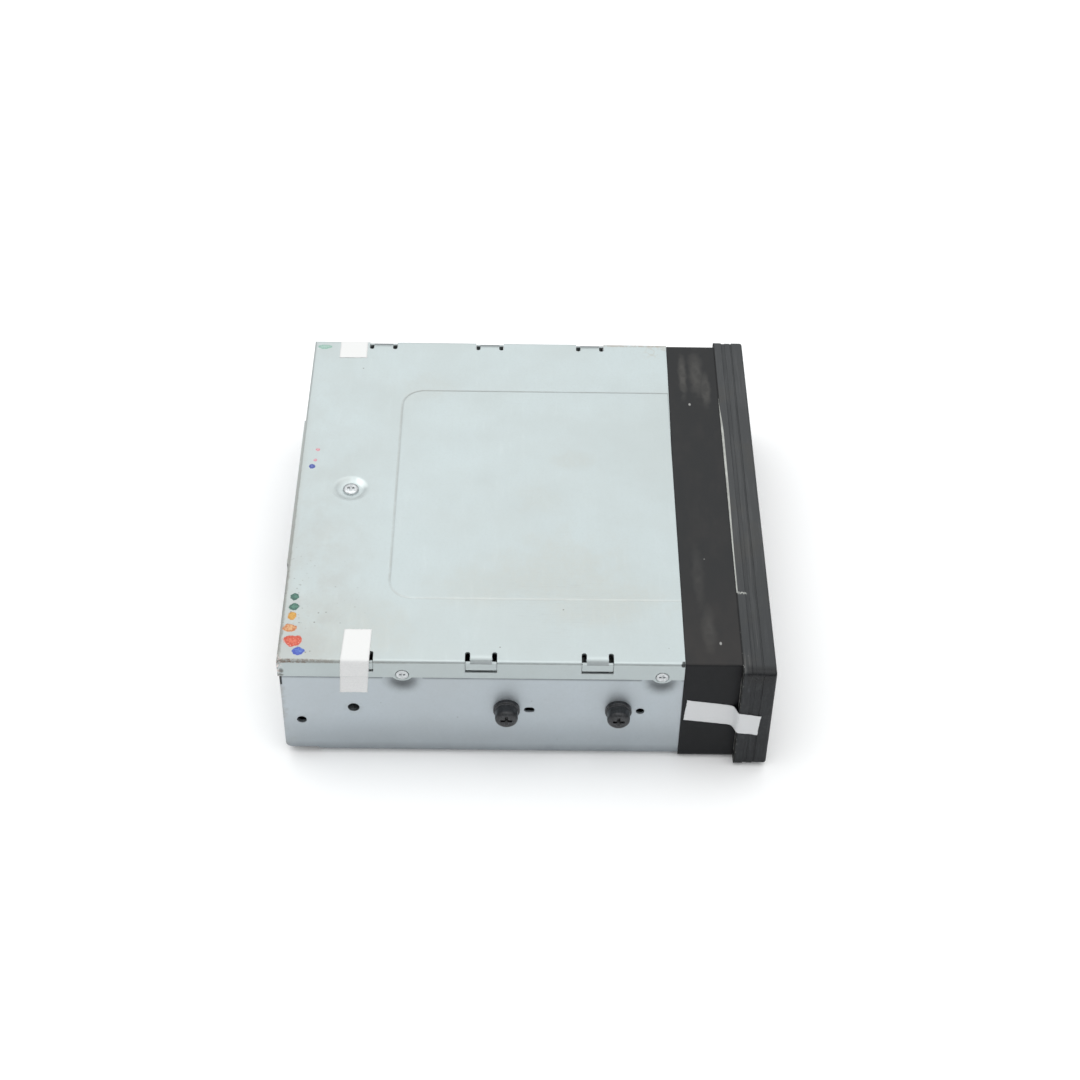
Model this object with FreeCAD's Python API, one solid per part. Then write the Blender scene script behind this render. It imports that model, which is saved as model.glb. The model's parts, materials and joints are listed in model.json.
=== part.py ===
import FreeCAD, Part
import math
import os

from FreeCAD import Vector as V

os.makedirs("parts", exist_ok=True)

# ------------------------------------------------------------------ driving dimensions, mm
# X runs across the unit, -Y is the front, +Z is up. y = 0 is the cover's rear edge while modelling; the finished
# solids are moved by Y_SHIFT so that the origin is under the middle of the bounding box.
CASE_W = 178.0  # single-height chassis width, over the cover
CASE_H = 50.0  # single-height chassis height
COVER_L = 142.4  # depth of the cover
COVER_T = 0.8  # cover sheet
CHASSIS_T = 1.0  # chassis sheet
CHASSIS_X = 88.1  # outer face of the chassis side
BEND_R = 4.0  # outer radius of the bottom bend
FLANGE_Z = 41.85  # lower edge of the cover's side flange
COLLAR_L = 20.0
COLLAR_X = 88.7
BEZEL_X = 92.4
BEZEL_FRONT = -174.3
REAR_MAX = 2.0  # how far the sockets stand behind the cover's edge
Y_SHIFT = -(BEZEL_FRONT + REAR_MAX) / 2.0

HOOK_Y = (-28.0, -71.2, -111.9)  # cover hooks
HOOK_SLOT = 4.72  # slot centres from the hook's centre
HOOK_SLOT_W = 1.75
SIDE_SCREW_Y = (-43.6, -134.7)
SIDE_SCREW_Z = 43.0
DISH_Z = 42.0  # dishes in the chassis side behind the cover screws
DISH_D = 1.4
M5_Y = (-80.2, -120.0)  # mounting screws
M5_Z = 25.0
M5_HEAD_R = 4.1
M5_FLANGE_R = 4.75
M5_TIP_X = 94.1  # how far the heads stand out
TAP_Y = -25.8  # free tapped hole
TAP_Z = 24.9
TAP_R = 2.1
LOC_REAR = (-7.0, 18.1, 1.75)  # plain locating holes: y, z, radius
LOC_FRONT = (-127.8, 24.4, 1.5)
SLOT_HOLE = (-88.3, 24.5, 3.8, 2.6)  # y, z, length, height
TOP_SCREW_Y = -20.2
EMB_X = 58.4  # embossed field of the cover
EMB_Y = -37.1
EMB_R = 9.0
EMB_H = 0.15

SPINDLE_Y = -86.0  # disc centre
SEAT_Z = 26.3  # disc seat
PATH_Z0 = 28.7  # disc path
PATH_Z1 = 32.9
FRAME_X = 69.0  # outer face of the loader frame's sides
DECK_Z = 21.0
ARM_PIVOT = (-18.0, 34.0)  # clamp arm pivot, y z
ARM_LIFT = 6.2  # degrees that the clamp arm stands up while the drive is empty
ROD_X = 26.0
ROD_Z = 18.5
ROD_R = 1.5
SCREW_X = 35.0
ROLLER_PIVOT = (-129.0, 22.0)
ROLLER_AXIS = (-141.0, 24.6)
DOOR_X = 76.7
DOOR_PIVOT = (-172.9, 12.0)
DOOR_TOP = 42.1
DOOR_PIN_R = 0.9
GEAR_M = 0.5
Z_ROLLER, Z_IDLER, Z_SMALL, Z_BIG, Z_PINION = 24, 25, 12, 36, 10
NIP_DEG = 19.0  # how far the roller arm swings up to press a disc against the upper guide

X_AX = V(1, 0, 0)
Y_AX = V(0, 1, 0)
Z_AX = V(0, 0, 1)


# ------------------------------------------------------------------ helpers
def box(x0, x1, y0, y1, z0, z1):
    x0, x1 = min(x0, x1), max(x0, x1)
    y0, y1 = min(y0, y1), max(y0, y1)
    z0, z1 = min(z0, z1), max(z0, z1)
    return Part.makeBox(x1 - x0, y1 - y0, z1 - z0, V(x0, y0, z0))


def cyl(r, p0, axis, length):
    return Part.makeCylinder(r, length, V(*p0), axis)


def cone(r1, r2, p0, axis, length):
    return Part.makeCone(r1, r2, length, V(*p0), axis)


def tube(r_out, r_in, p0, axis, length):
    a = V(*p0)
    return cyl(r_out, p0, axis, length).cut(
        Part.makeCylinder(r_in, length + 2, a - axis * 1.0, axis)
    )


def fuse(items):
    s = items[0]
    if len(items) > 1:
        s = s.multiFuse(items[1:])
    return s.removeSplitter()


def edges_at(shape, test):
    out = []
    for e in shape.Edges:
        if len(e.Vertexes) != 2:
            continue
        a, b = e.Vertexes[0].Point, e.Vertexes[1].Point
        if test(a, b):
            out.append(e)
    return out


def near(a, b, tol=1e-4):
    return abs(a - b) < tol


def fillet(shape, r, test):
    es = edges_at(shape, test)
    if not es:
        raise RuntimeError("no edge to round")
    return shape.makeFillet(r, es)


def chamfer(shape, r, test):
    es = edges_at(shape, test)
    if not es:
        raise RuntimeError("no edge to chamfer")
    return shape.makeChamfer(r, es)


def rbox(x0, x1, y0, y1, z0, z1, r):
    """A box with its four edges along Y rounded."""
    b = box(x0, x1, y0, y1, z0, z1)
    return fillet(
        b, r, lambda a, c: near(a.x, c.x) and near(a.z, c.z) and not near(a.y, c.y)
    )


def prism_yz(pts, x0, x1):
    w = Part.makePolygon([V(x0, y, z) for y, z in pts] + [V(x0, pts[0][0], pts[0][1])])
    return Part.Face(w).extrude(V(x1 - x0, 0, 0))


def prism_xz(pts, y0, y1):
    w = Part.makePolygon([V(x, y0, z) for x, z in pts] + [V(pts[0][0], y0, pts[0][1])])
    return Part.Face(w).extrude(V(0, y1 - y0, 0))


def prism_xy(pts, z0, z1):
    w = Part.makePolygon([V(x, y, z0) for x, y in pts] + [V(pts[0][0], pts[0][1], z0)])
    return Part.Face(w).extrude(V(0, 0, z1 - z0))


def revolve(pts, p0, axis, radial):
    """Turns (radius, along) points about the axis through p0."""
    o = V(*p0)
    w = Part.makePolygon(
        [o + radial * r + axis * a for r, a in pts] + [o + radial * pts[0][0] + axis * pts[0][1]]
    )
    return Part.Face(w).revolve(o, axis, 360)


def stadium_z(x, y, length, width, z0, z1, along="x"):
    """A slot shape, its length end to end, extruded up."""
    h = (length - width) / 2.0
    r = width / 2.0
    if along == "x":
        parts = [box(x - h, x + h, y - r, y + r, z0, z1)]
        ends = [(x - h, y), (x + h, y)]
    else:
        parts = [box(x - r, x + r, y - h, y + h, z0, z1)]
        ends = [(x, y - h), (x, y + h)]
    parts += [cyl(r, (a, b, z0), Z_AX, z1 - z0) for a, b in ends]
    return fuse(parts)


def spring(radius, wire, length, turns, p0, axis_dir):
    """A coil of flat-sided wire from p0 along Z, then laid along the axis. It has flat faces, so its mesh stays small."""
    around, sides = 14, 6
    n = int(around * turns)
    rings = []
    for i in range(n + 1):
        a = 2 * math.pi * i / around
        out = V(math.cos(a), math.sin(a), 0)
        c = out * radius + V(0, 0, length * i / n)
        rings.append(
            [c + out * (wire * math.cos(2 * math.pi * k / sides)) + Z_AX * (wire * math.sin(2 * math.pi * k / sides)) for k in range(sides)]
        )

    def tri(a, b, c):
        return Part.Face(Part.makePolygon([a, b, c, a]))

    faces = []
    for i in range(n):
        for k in range(sides):
            a, b = rings[i][k], rings[i][(k + 1) % sides]
            d, c = rings[i + 1][k], rings[i + 1][(k + 1) % sides]
            faces += [tri(a, b, c), tri(a, c, d)]
    for ring in (rings[0], rings[-1]):
        faces.append(Part.Face(Part.makePolygon(ring + [ring[0]])))
    s = Part.Solid(Part.Shell(faces))
    if s.Volume < 0:
        s.reverse()
    if axis_dir == "x":
        s.rotate(V(0, 0, 0), Y_AX, 90)
    s.translate(V(*p0))
    return s


def cross_recess(p, axis, size, depth):
    """The cutter for a cross recess, p on the head's face, axis pointing into the head."""
    if abs(axis.x) > 0.5:
        a, b = Y_AX, Z_AX
    elif abs(axis.y) > 0.5:
        a, b = X_AX, Z_AX
    else:
        a, b = X_AX, Y_AX
    p = V(*p)
    w = size * 0.26

    def bar(u, v):
        pts = [
            p - axis * 0.2 - u * (size / 2) - v * (w / 2),
            p - axis * 0.2 + u * (size / 2) - v * (w / 2),
            p - axis * 0.2 + u * (size / 2) + v * (w / 2),
            p - axis * 0.2 - u * (size / 2) + v * (w / 2),
        ]
        low = [
            p + axis * depth - u * (size * 0.2) - v * (w * 0.35),
            p + axis * depth + u * (size * 0.2) - v * (w * 0.35),
            p + axis * depth + u * (size * 0.2) + v * (w * 0.35),
            p + axis * depth - u * (size * 0.2) + v * (w * 0.35),
        ]
        return Part.makeLoft(
            [Part.makePolygon(pts + [pts[0]]), Part.makePolygon(low + [low[0]])], True, True
        )

    return bar(a, b).fuse(bar(b, a))


def gear(teeth, x0, x1, cy, cz, turn_deg, bore, thin=0.05):
    """A spur gear on an axis along X. turn_deg is where the centre of one tooth points, from +Y towards +Z."""
    m = GEAR_M
    rp = m * teeth / 2.0
    ra = rp + m
    rf = rp - 1.2 * m
    alpha = math.radians(20)
    rb = rp * math.cos(alpha)

    def inv(a):
        return math.tan(a) - a

    half = math.pi / (2 * teeth) - thin / (2 * rp)  # half tooth angle at the pitch circle
    pts = []
    for k in range(teeth):
        mid = math.radians(turn_deg) + 2 * math.pi * k / teeth
        flank = []
        for i in range(6):
            r = max(rb, rf) + (ra - max(rb, rf)) * i / 5.0
            a = math.acos(min(1.0, rb / r))
            flank.append((r, half + inv(alpha) - inv(a)))
        if rb > rf:
            flank.insert(0, (rf, flank[0][1] + 0.02))
        for r, a in flank:
            pts.append((r, mid - a))
        for r, a in reversed(flank):
            pts.append((r, mid + a))
    poly = [(cy + r * math.cos(a), cz + r * math.sin(a)) for r, a in pts]
    g = prism_yz(poly, x0, x1)
    if bore:
        g = g.cut(cyl(bore, (x0 - 1, cy, cz), X_AX, x1 - x0 + 2))
    return g


def mirror_x(shape):
    return shape.mirror(V(0, 0, 0), X_AX)


COUNT = {}


def save(name, shapes):
    if not isinstance(shapes, (list, tuple)):
        shapes = [shapes]
    solids = []
    for s in shapes:
        s = s.copy()
        s.translate(V(0, Y_SHIFT, 0))
        solids += s.Solids
    for k, s in enumerate(solids):
        if not s.isValid():
            print("NOT VALID", name, k)
        if s.Volume <= 0:
            print("NEGATIVE", name, k, s.Volume)
    out = solids[0] if len(solids) == 1 else Part.makeCompound(solids)
    out.exportStep("parts/%s.step" % name)
    COUNT[name] = len(solids)


# ------------------------------------------------------------------ chassis
def bottom_dish(shape, x, y, r, depth):
    shape = shape.fuse(cone(r + 1.4, r + 0.6, (x, y, CHASSIS_T - 0.01), Z_AX, depth + 0.01))
    return shape.cut(cone(r + 0.4, r - 0.2, (x, y, -0.001), Z_AX, depth))


def make_chassis():
    outer = box(-CHASSIS_X, CHASSIS_X, -COVER_L - 0.1, -0.45, 0, 49.0)
    outer = fillet(
        outer, BEND_R,
        lambda a, b: near(a.z, 0) and near(b.z, 0) and near(abs(a.x), CHASSIS_X) and near(a.x, b.x),
    )
    inner = box(-CHASSIS_X + CHASSIS_T, CHASSIS_X - CHASSIS_T, -COVER_L - 5, 5, CHASSIS_T, 60)
    inner = fillet(
        inner, BEND_R - CHASSIS_T,
        lambda a, b: near(a.z, CHASSIS_T) and near(b.z, CHASSIS_T) and near(a.x, b.x) and not near(a.y, b.y),
    )
    s = outer.cut(inner)
    # the bends are notched at the rear, with a slanted start
    for sx in (-1, 1):
        s = s.cut(box(sx * 83.9, sx * 100, -12.0, 5, -1, 3.3))
        s = s.cut(prism_yz([(-12.0, -1), (-12.0, 3.3), (-14.2, -1)], sx * 84.2, sx * 90))
    s = fillet(
        s, 2.4,
        lambda a, b: near(a.y, -0.45) and near(b.y, -0.45) and near(a.z, 3.3) and near(b.z, 3.3),
    )
    # dishes behind the cover's side screws
    d, t = DISH_D, CHASSIS_T
    outside = [(3.4, d), (4.3, d - 0.1), (5.0, d - 0.38), (5.7, d - 0.78), (6.5, 0.3), (7.4, 0.1), (8.4, 0.0)]
    inside = [(3.7, d + t), (4.7, d + t - 0.12), (5.5, d + t - 0.45), (6.2, d + t - 0.82), (7.0, t + 0.22), (7.8, t + 0.06), (8.4, t - 0.01)]
    for sx in (-1, 1):
        for y in SIDE_SCREW_Y:
            p0 = (sx * CHASSIS_X, y, DISH_Z)
            bump = revolve([(0, t - 0.2), (0, d + t)] + inside + [(8.4, t - 0.2)], p0, X_AX * (-sx), Z_AX)
            s = s.fuse(bump.common(box(sx * 80, sx * 89, max(y - 10, -COVER_L - 0.1), y + 10, 28, 49)))
            s = s.cut(revolve([(0, -1.0), (0, d)] + outside + [(8.4, -1.0)], p0, X_AX * (-sx), Z_AX))
            s = s.fuse(cyl(2.4, (sx * (CHASSIS_X - DISH_D - 0.6), y, SIDE_SCREW_Z), X_AX * (-sx), 1.6))
            s = s.cut(cyl(1.3, (sx * (CHASSIS_X + 1), y, SIDE_SCREW_Z), X_AX * (-sx), 8))
    # hook notches with their jogged fingers
    for sx in (-1, 1):
        for y in HOOK_Y:
            s = s.cut(box(sx * (CHASSIS_X + 1), sx * (CHASSIS_X - 1.5), y - 6.2, y + 6.2, 42.4, 50))
            s = s.fuse(box(sx * CHASSIS_X, sx * (CHASSIS_X - 2.6), y - 4, y + 4, 40.9, 41.9))
            s = s.fuse(box(sx * (CHASSIS_X - 1.6), sx * (CHASSIS_X - 2.6), y - 4, y + 4, 40.9, 48.4))
    # tapped collars for the mounting screws and the free tapped hole
    for sx in (-1, 1):
        for y, z, r in [(M5_Y[0], M5_Z, 2.5), (M5_Y[1], M5_Z, 2.5), (TAP_Y, TAP_Z, TAP_R)]:
            s = s.fuse(cyl(3.7, (sx * (CHASSIS_X - CHASSIS_T + 0.1), y, z), X_AX * (-sx), 1.9))
            s = s.cut(cyl(r, (sx * (CHASSIS_X + 1), y, z), X_AX * (-sx), 8))
        for y, z, r in (LOC_REAR, LOC_FRONT):
            s = s.cut(cyl(r, (sx * (CHASSIS_X + 1), y, z), X_AX * (-sx), 3))
        y, z, l, h = SLOT_HOLE
        cut = box(sx * (CHASSIS_X + 1), sx * (CHASSIS_X - 2), y - (l - h) / 2, y + (l - h) / 2, z - h / 2, z + h / 2)
        for d in (-1, 1):
            cut = cut.fuse(cyl(h / 2, (sx * (CHASSIS_X + 1), y + d * (l - h) / 2, z), X_AX * (-sx), 3))
        s = s.cut(cut)
    # bottom: screw dishes and stiffening beads pressed upwards
    for x in (-74.0, 74.0):
        for y in (-30.0, -122.0):
            s = bottom_dish(s, x, y, 3.4, 1.0)
            s = s.cut(cyl(1.6, (x, y, -1), Z_AX, 6))
    for x in (-60.0, 60.0):
        s = bottom_dish(s, x, -138.0, 3.2, 0.9)
        s = s.cut(cyl(1.35, (x, -138.0, -1), Z_AX, 6))
    for x in (-36.0, 0.0, 36.0):
        s = s.fuse(stadium_z(x, -76.0, 84.0, 8.0, CHASSIS_T - 0.01, CHASSIS_T + 0.6, "y"))
        s = s.cut(stadium_z(x, -76.0, 82.4, 6.4, -0.01, 0.6, "y"))
    return s.removeSplitter()


def outline(x, y_rear, y_front, r, z):
    """The embossed field: a rectangle open at the front edge, with round rear corners."""
    a = V(-x, y_front, z)
    b = V(-x, y_rear - r, z)
    c = V(-x + r, y_rear, z)
    d = V(x - r, y_rear, z)
    e = V(x, y_rear - r, z)
    f = V(x, y_front, z)
    k = r * (1 - math.sqrt(0.5))
    m1 = V(-x + k, y_rear - k, z)
    m2 = V(x - k, y_rear - k, z)
    return Part.Wire(
        [
            Part.makeLine(a, b),
            Part.Arc(b, m1, c).toShape(),
            Part.makeLine(c, d),
            Part.Arc(d, m2, e).toShape(),
            Part.makeLine(e, f),
            Part.makeLine(f, a),
        ]
    )


LIP = [(20.0, -COVER_L), (45.0, -COVER_L - 0.3), (70.0, -COVER_L - 0.55), (88.4, -COVER_L - 0.65), (88.4, -COVER_L + 0.5), (20.0, -COVER_L + 0.5)]


def make_cover():
    hw = CASE_W / 2
    t = COVER_T
    outer = box(-hw, hw, -COVER_L, 0, FLANGE_Z, CASE_H)
    outer = fillet(
        outer, 1.0,
        lambda a, b: near(a.z, CASE_H) and near(b.z, CASE_H) and not (near(a.y, -COVER_L) and near(b.y, -COVER_L)),
    )
    inner = box(-hw + t, hw - t, -COVER_L - 5, -t, FLANGE_Z - 5, CASE_H - t)
    s = outer.cut(inner)
    # open seams at the rear corners
    for sx in (-1, 1):
        s = s.cut(box(sx * (hw - 2.1), sx * (hw - 0.7), -t - 0.05, 1, FLANGE_Z - 1, CASE_H - t - 0.1))
    # the middle of the rear flange is joggled out and hangs lower, with a relief notch at each end
    s = s.cut(box(-42.0, 40.0, -t - 0.05, 1, FLANGE_Z - 1, CASE_H - t))
    s = s.fuse(box(-41.0, 39.0, -0.45, 0.35, 38.5, CASE_H - 0.9))
    s = s.fuse(box(-41.0, 39.0, -1.6, 0.35, CASE_H - 1.05, CASE_H - 0.25))
    # embossed field
    up = Part.makeLoft(
        [outline(EMB_X, EMB_Y, -COVER_L, EMB_R, CASE_H - 0.05), outline(EMB_X - 0.9, EMB_Y - 0.9, -COVER_L, EMB_R - 0.9, CASE_H + EMB_H)],
        True, True,
    )
    down = Part.makeLoft(
        [outline(EMB_X - 0.7, EMB_Y - 0.7, -COVER_L - 1, EMB_R - 0.7, CASE_H - t - 0.05), outline(EMB_X - 1.6, EMB_Y - 1.6, -COVER_L - 1, EMB_R - 1.6, CASE_H - t + EMB_H)],
        True, True,
    )
    s = s.fuse(up).cut(down)
    # the front edge runs slightly forward at the right front corner
    s = s.fuse(prism_xy(LIP, CASE_H - t, CASE_H - 0.02))
    # dish for the top screw
    s = s.cut(cyl(7.0, (0, TOP_SCREW_Y, CASE_H - t - 1), Z_AX, 4))
    dish = revolve(
        [(1.65, -2.0), (4.0, -2.0), (4.9, -1.8), (5.6, -1.4), (6.2, -1.07), (6.8, -0.87), (7.35, -0.8), (7.35, 0.0), (6.9, -0.015),
         (6.3, -0.1), (5.7, -0.27), (5.1, -0.51), (4.5, -0.72), (3.9, -0.85), (3.2, -0.9), (1.65, -0.9)],
        (0, TOP_SCREW_Y, CASE_H), Z_AX, X_AX,
    )
    s = s.fuse(dish)
    # hooks
    for sx in (-1, 1):
        for y in HOOK_Y:
            w = HOOK_SLOT + HOOK_SLOT_W / 2
            s = s.cut(box(sx * (hw + 1), sx * (hw - 4.0), y - w, y + w, 44.65, CASE_H + 1))
            for d in (-1, 1):
                s = s.cut(cyl(HOOK_SLOT_W / 2, (sx * (hw - 4.0), y + d * HOOK_SLOT, CASE_H - 3), Z_AX, 5))
            a = HOOK_SLOT - HOOK_SLOT_W / 2
            strip = [
                (hw - 4.2, CASE_H), (hw - 3.3, CASE_H - 0.01), (hw - 2.7, CASE_H - 0.08), (hw - 2.1, CASE_H - 0.26), (hw - 1.6, CASE_H - 0.52),
                (hw - 1.2, CASE_H - 0.86), (hw - 0.95, CASE_H - 1.2), (hw - 0.95, CASE_H - 1.9), (hw - 1.7, CASE_H - 1.9),
                (hw - 2.1, CASE_H - 1.45), (hw - 2.7, CASE_H - 1.02), (hw - 3.4, CASE_H - t - 0.04), (hw - 4.2, CASE_H - t),
            ]
            s = s.fuse(prism_xz([(sx * px, pz) for px, pz in strip], y - a, y + a))
            plate = box(sx * (hw - 0.15), sx * (hw - 1.2), y - 5.48, y + 5.48, 45.75, CASE_H - 0.85)
            plate = fillet(plate, 0.25, lambda p, q: near(p.z, CASE_H - 0.85) and near(q.z, CASE_H - 0.85) and near(abs(p.x), hw - 0.15) and near(p.x, q.x))
            s = s.fuse(plate)
    # screw lobes, dimpled inwards for countersunk heads
    for sx in (-1, 1):
        for y in SIDE_SCREW_Y:
            s = s.fuse(cyl(4.1, (sx * hw, y, 44.3), X_AX * (-sx), t))
            s = s.fuse(cyl(2.75, (sx * hw, y, SIDE_SCREW_Z), X_AX * (-sx), 1.4))
            s = s.cut(cone(2.55, 1.5, (sx * (hw + 0.001), y, SIDE_SCREW_Z), X_AX * (-sx), 1.1))
            s = s.cut(cyl(1.5, (sx * (hw + 1), y, SIDE_SCREW_Z), X_AX * (-sx), 4))
    return s.removeSplitter()


# ------------------------------------------------------------------ rear panel and sockets
SOCKET_Z0 = 7.1
POWER = (-54.0, -14.0, 19.6)  # x0, x1, top
DISPLAY = (-4.0, 18.0, 19.6)
ANTENNA = (30.0, 41.0, 17.6)


def make_rear():
    s = box(-87.0, 87.0, -1.9, -0.9, 1.05, 41.2)
    s = s.fuse(box(-87.0, -43.5, -1.9, -0.9, 41.1, 48.9))
    s = s.fuse(box(41.5, 87.0, -1.9, -0.9, 41.1, 48.9))
    s = s.fuse(box(-43.6, 41.6, -1.9, -0.9, 41.1, 48.0))
    # corners follow the chassis bend
    for sx in (-1, 1):
        s = s.cut(box(sx * 83.6, sx * 90, -2.5, 0, -1, 3.5))
    for sx in (-1, 1):
        s = s.fuse(box(sx * 87.0, sx * 86.0, -9.6, -1.5, 9, 30))
        s = s.cut(cyl(2.3, (sx * 90, LOC_REAR[0], LOC_REAR[1]), X_AX * (-sx), 6))
    for x0, x1, z1 in (POWER, DISPLAY, ANTENNA):
        s = s.cut(box(x0 - 0.3, x1 + 0.3, -3, 0, SOCKET_Z0 - 0.3, z1 + 0.3))
    # vent slots
    for k in range(9):
        s = s.cut(vent(50.0 + 3.8 * k, 30.0))
    for x, z in REAR_SCREWS:
        s = s.cut(cyl(1.35, (x, -3, z), Y_AX, 4))
    return s.removeSplitter()


def vent(x, z):
    v = box(x - 0.9, x + 0.9, -3, 0, z - 5.5, z + 5.5)
    v = v.fuse(cyl(0.9, (x, -3, z - 5.5), Y_AX, 3))
    return v.fuse(cyl(0.9, (x, -3, z + 5.5), Y_AX, 3))


REAR_SCREWS = [(0.0, 33.0), (-60.0, 13.5), (24.0, 13.5), (47.5, 13.5)]


def make_sockets():
    x0, x1, z1 = POWER
    p = box(x0, x1, -13.0, REAR_MAX, SOCKET_Z0, z1)
    p = p.cut(box(x0 + 2, x1 - 2, -9.0, REAR_MAX + 1, SOCKET_Z0 + 2, z1 - 2))
    p = p.cut(box(x0 + 15, x1 - 15, -2.0, REAR_MAX + 1, z1 - 2.5, z1 - 0.8))  # latch window
    save("power_socket", p.removeSplitter())
    pins = []
    for row in (SOCKET_Z0 + 4.0, z1 - 4.0):
        for k in range(12):
            x = x0 + 4.0 + k * (x1 - x0 - 8.0) / 11.0
            pins.append(box(x - 0.3, x + 0.3, -9.0, -5.2, row - 0.3, row + 0.3))
    save("power_socket_pins", pins)

    x0, x1, z1 = DISPLAY
    cx, cz = (x0 + x1) / 2, (SOCKET_Z0 + z1) / 2
    d = box(x0, x1, -13.0, 0.6, SOCKET_Z0, z1)
    d = d.fuse(tube(6.0, 5.0, (cx, 0.0, cz), Y_AX, REAR_MAX))
    d = d.cut(cyl(5.0, (cx, -7.0, cz), Y_AX, 12))
    d = d.cut(box(cx - 1.2, cx + 1.2, -7.0, 3, cz - 6.2, cz - 4.6))
    save("display_socket", d.removeSplitter())

    x0, x1, z1 = ANTENNA
    cx, cz = (x0 + x1) / 2, (SOCKET_Z0 + z1) / 2
    a = box(x0, x1, -13.0, REAR_MAX, SOCKET_Z0, z1)
    a = a.cut(box(cx - 3.6, cx + 3.6, -7.0, REAR_MAX + 1, cz - 3.4, cz + 3.4))
    a = a.fuse(tube(1.5, 0.9, (cx, -13.0 + 1, cz), Y_AX, 8.0))
    save("antenna_jack", a.removeSplitter())


# ------------------------------------------------------------------ screws
def pan_screw(p, axis, head_r, head_h, shank_r, length, recess):
    """p is the point on the seat, axis points from the head into the work."""
    pv = V(*p)
    top = pv - axis * head_h
    radial = Y_AX if abs(axis.x) > 0.5 else X_AX
    prof = [(0, length), (shank_r, length), (shank_r, 0), (head_r, 0), (head_r, -head_h * 0.35)]
    for k in range(1, 6):
        a = math.radians(90 * k / 5.0)
        prof.append((head_r * (0.62 + 0.38 * math.cos(a)), -head_h * (0.35 + 0.65 * math.sin(a))))
    prof.append((0, -head_h))
    s = revolve(prof, p, axis, radial)
    return s.cut(cross_recess((top.x, top.y, top.z), axis, recess, head_h * 0.75))


def csk_screw(p, axis, head_r, shank_r, length, recess):
    """Countersunk: p is on the face of the head."""
    radial = Y_AX if abs(axis.x) > 0.5 else X_AX
    s = revolve(
        [(0, 0), (head_r, 0), (head_r, 0.12), (shank_r, head_r - shank_r + 0.12), (shank_r, length), (0, length)], p, axis, radial
    )
    return s.cut(cross_recess(p, axis, recess, 0.8))


def m5_screw(sx, y):
    a = X_AX * (-sx)
    p = (sx * CHASSIS_X, y, M5_Z)
    h = M5_TIP_X - CHASSIS_X
    prof = [(0, 5.4), (2.45, 5.4), (2.45, 0.0), (M5_FLANGE_R, 0.0), (M5_FLANGE_R, -1.2), (M5_FLANGE_R - 0.25, -1.45)]
    prof += [(M5_HEAD_R + 0.1, -1.6), (M5_HEAD_R, -1.9), (M5_HEAD_R, -(h - 1.5))]
    for k in range(1, 6):
        t = math.radians(90 * k / 5.0)
        prof.append((M5_HEAD_R - 1.5 + 1.5 * math.cos(t), -(h - 1.5) - 1.5 * math.sin(t)))
    prof.append((0, -h))
    s = revolve(prof, p, a, Y_AX)
    return s.cut(cross_recess((sx * M5_TIP_X, y, M5_Z), a, 4.6, 2.0))


# ------------------------------------------------------------------ collar, bezel and front parts
def make_collar():
    y0, y1 = -COVER_L - 0.15 - COLLAR_L, -COVER_L - 0.15
    y0 = -162.5
    o = box(-COLLAR_X, COLLAR_X, y0, y1, 0.4, 49.7)
    o = fillet(o, 2.4, lambda a, b: near(a.z, 0.4) and near(b.z, 0.4) and near(a.x, b.x))
    o = fillet(o, 0.9, lambda a, b: near(a.z, 49.7) and near(b.z, 49.7) and near(a.x, b.x))
    o = o.cut(box(-86.5, 86.5, y0 - 1, y1 + 1, 2.6, 47.6))
    o = o.fuse(box(-80, 80, y1 - 3, -137.0, 47.75, 48.95))  # tongue under the cover
    for sx in (-1, 1):
        o = o.fuse(box(sx * 86.95, sx * 85.6, y1 - 3, -137.0, 6, 29))
        o = o.fuse(box(sx * 52, sx * 68, y1 - 3, -133.5, 2.1, 3.6))
        o = o.cut(cyl(1.1, (sx * 60, -138.0, 0), Z_AX, 5))
    o = o.cut(prism_xy([(14.0, -COVER_L - 0.12), (45.0, -COVER_L - 0.45), (70.0, -COVER_L - 0.7), (89.5, -COVER_L - 0.8), (89.5, -COVER_L + 1), (14.0, -COVER_L + 1)], 49.0, 51))
    return o.removeSplitter()


def make_bezel():
    yb = -162.5
    # rear rib, groove, middle rib, thin groove, front block
    slices = [
        (yb, -165.9, 0.0, 0.6, 49.5, 1.8),
        (-165.8, -167.3, 0.35, 0.6, 49.5, 1.4),
        (-167.2, -169.2, 0.15, 0.7, 49.45, 1.6),
        (-169.1, -170.0, 0.35, 0.8, 49.4, 1.3),
        (-169.9, BEZEL_FRONT, 0.0, 1.2, 49.3, 1.6),
    ]
    solids = []
    for y1, y0, inset, z0, z1, r in slices:
        b = rbox(-BEZEL_X + inset, BEZEL_X - inset, y0, y1, z0 + inset, z1 - inset, r)
        solids.append(b)
    front = solids[-1]
    front = front.makeFillet(
        0.9, [e for e in front.Edges if all(near(v.Point.y, BEZEL_FRONT) for v in e.Vertexes)]
    )
    solids[-1] = front
    rib = solids[0]
    solids[0] = rib.makeFillet(0.5, [e for e in rib.Edges if all(near(v.Point.y, -165.9) for v in e.Vertexes)])
    s = fuse(solids)
    s = s.cut(box(-87.0, 87.0, -171.8, yb + 1, 4.4, 45.6))  # pocket from behind
    s = s.cut(box(-77.0, 77.0, -180, -171, 10.5, 42.4))  # door opening
    # ears for the door's hinge pins
    py, pz = DOOR_PIVOT
    for sx in (-1, 1):
        s = s.fuse(box(sx * 77.0, sx * 81.0, -172.0, -170.6, 9.0, 15.0))
        s = s.cut(cyl(DOOR_PIN_R + 0.05, (sx * 76, py, pz), X_AX * sx, 4.2))
    s = s.cut(box(82.0, 84.4, -180, -171, 25.2, 26.8))  # lamp window
    return s.removeSplitter()


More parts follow.
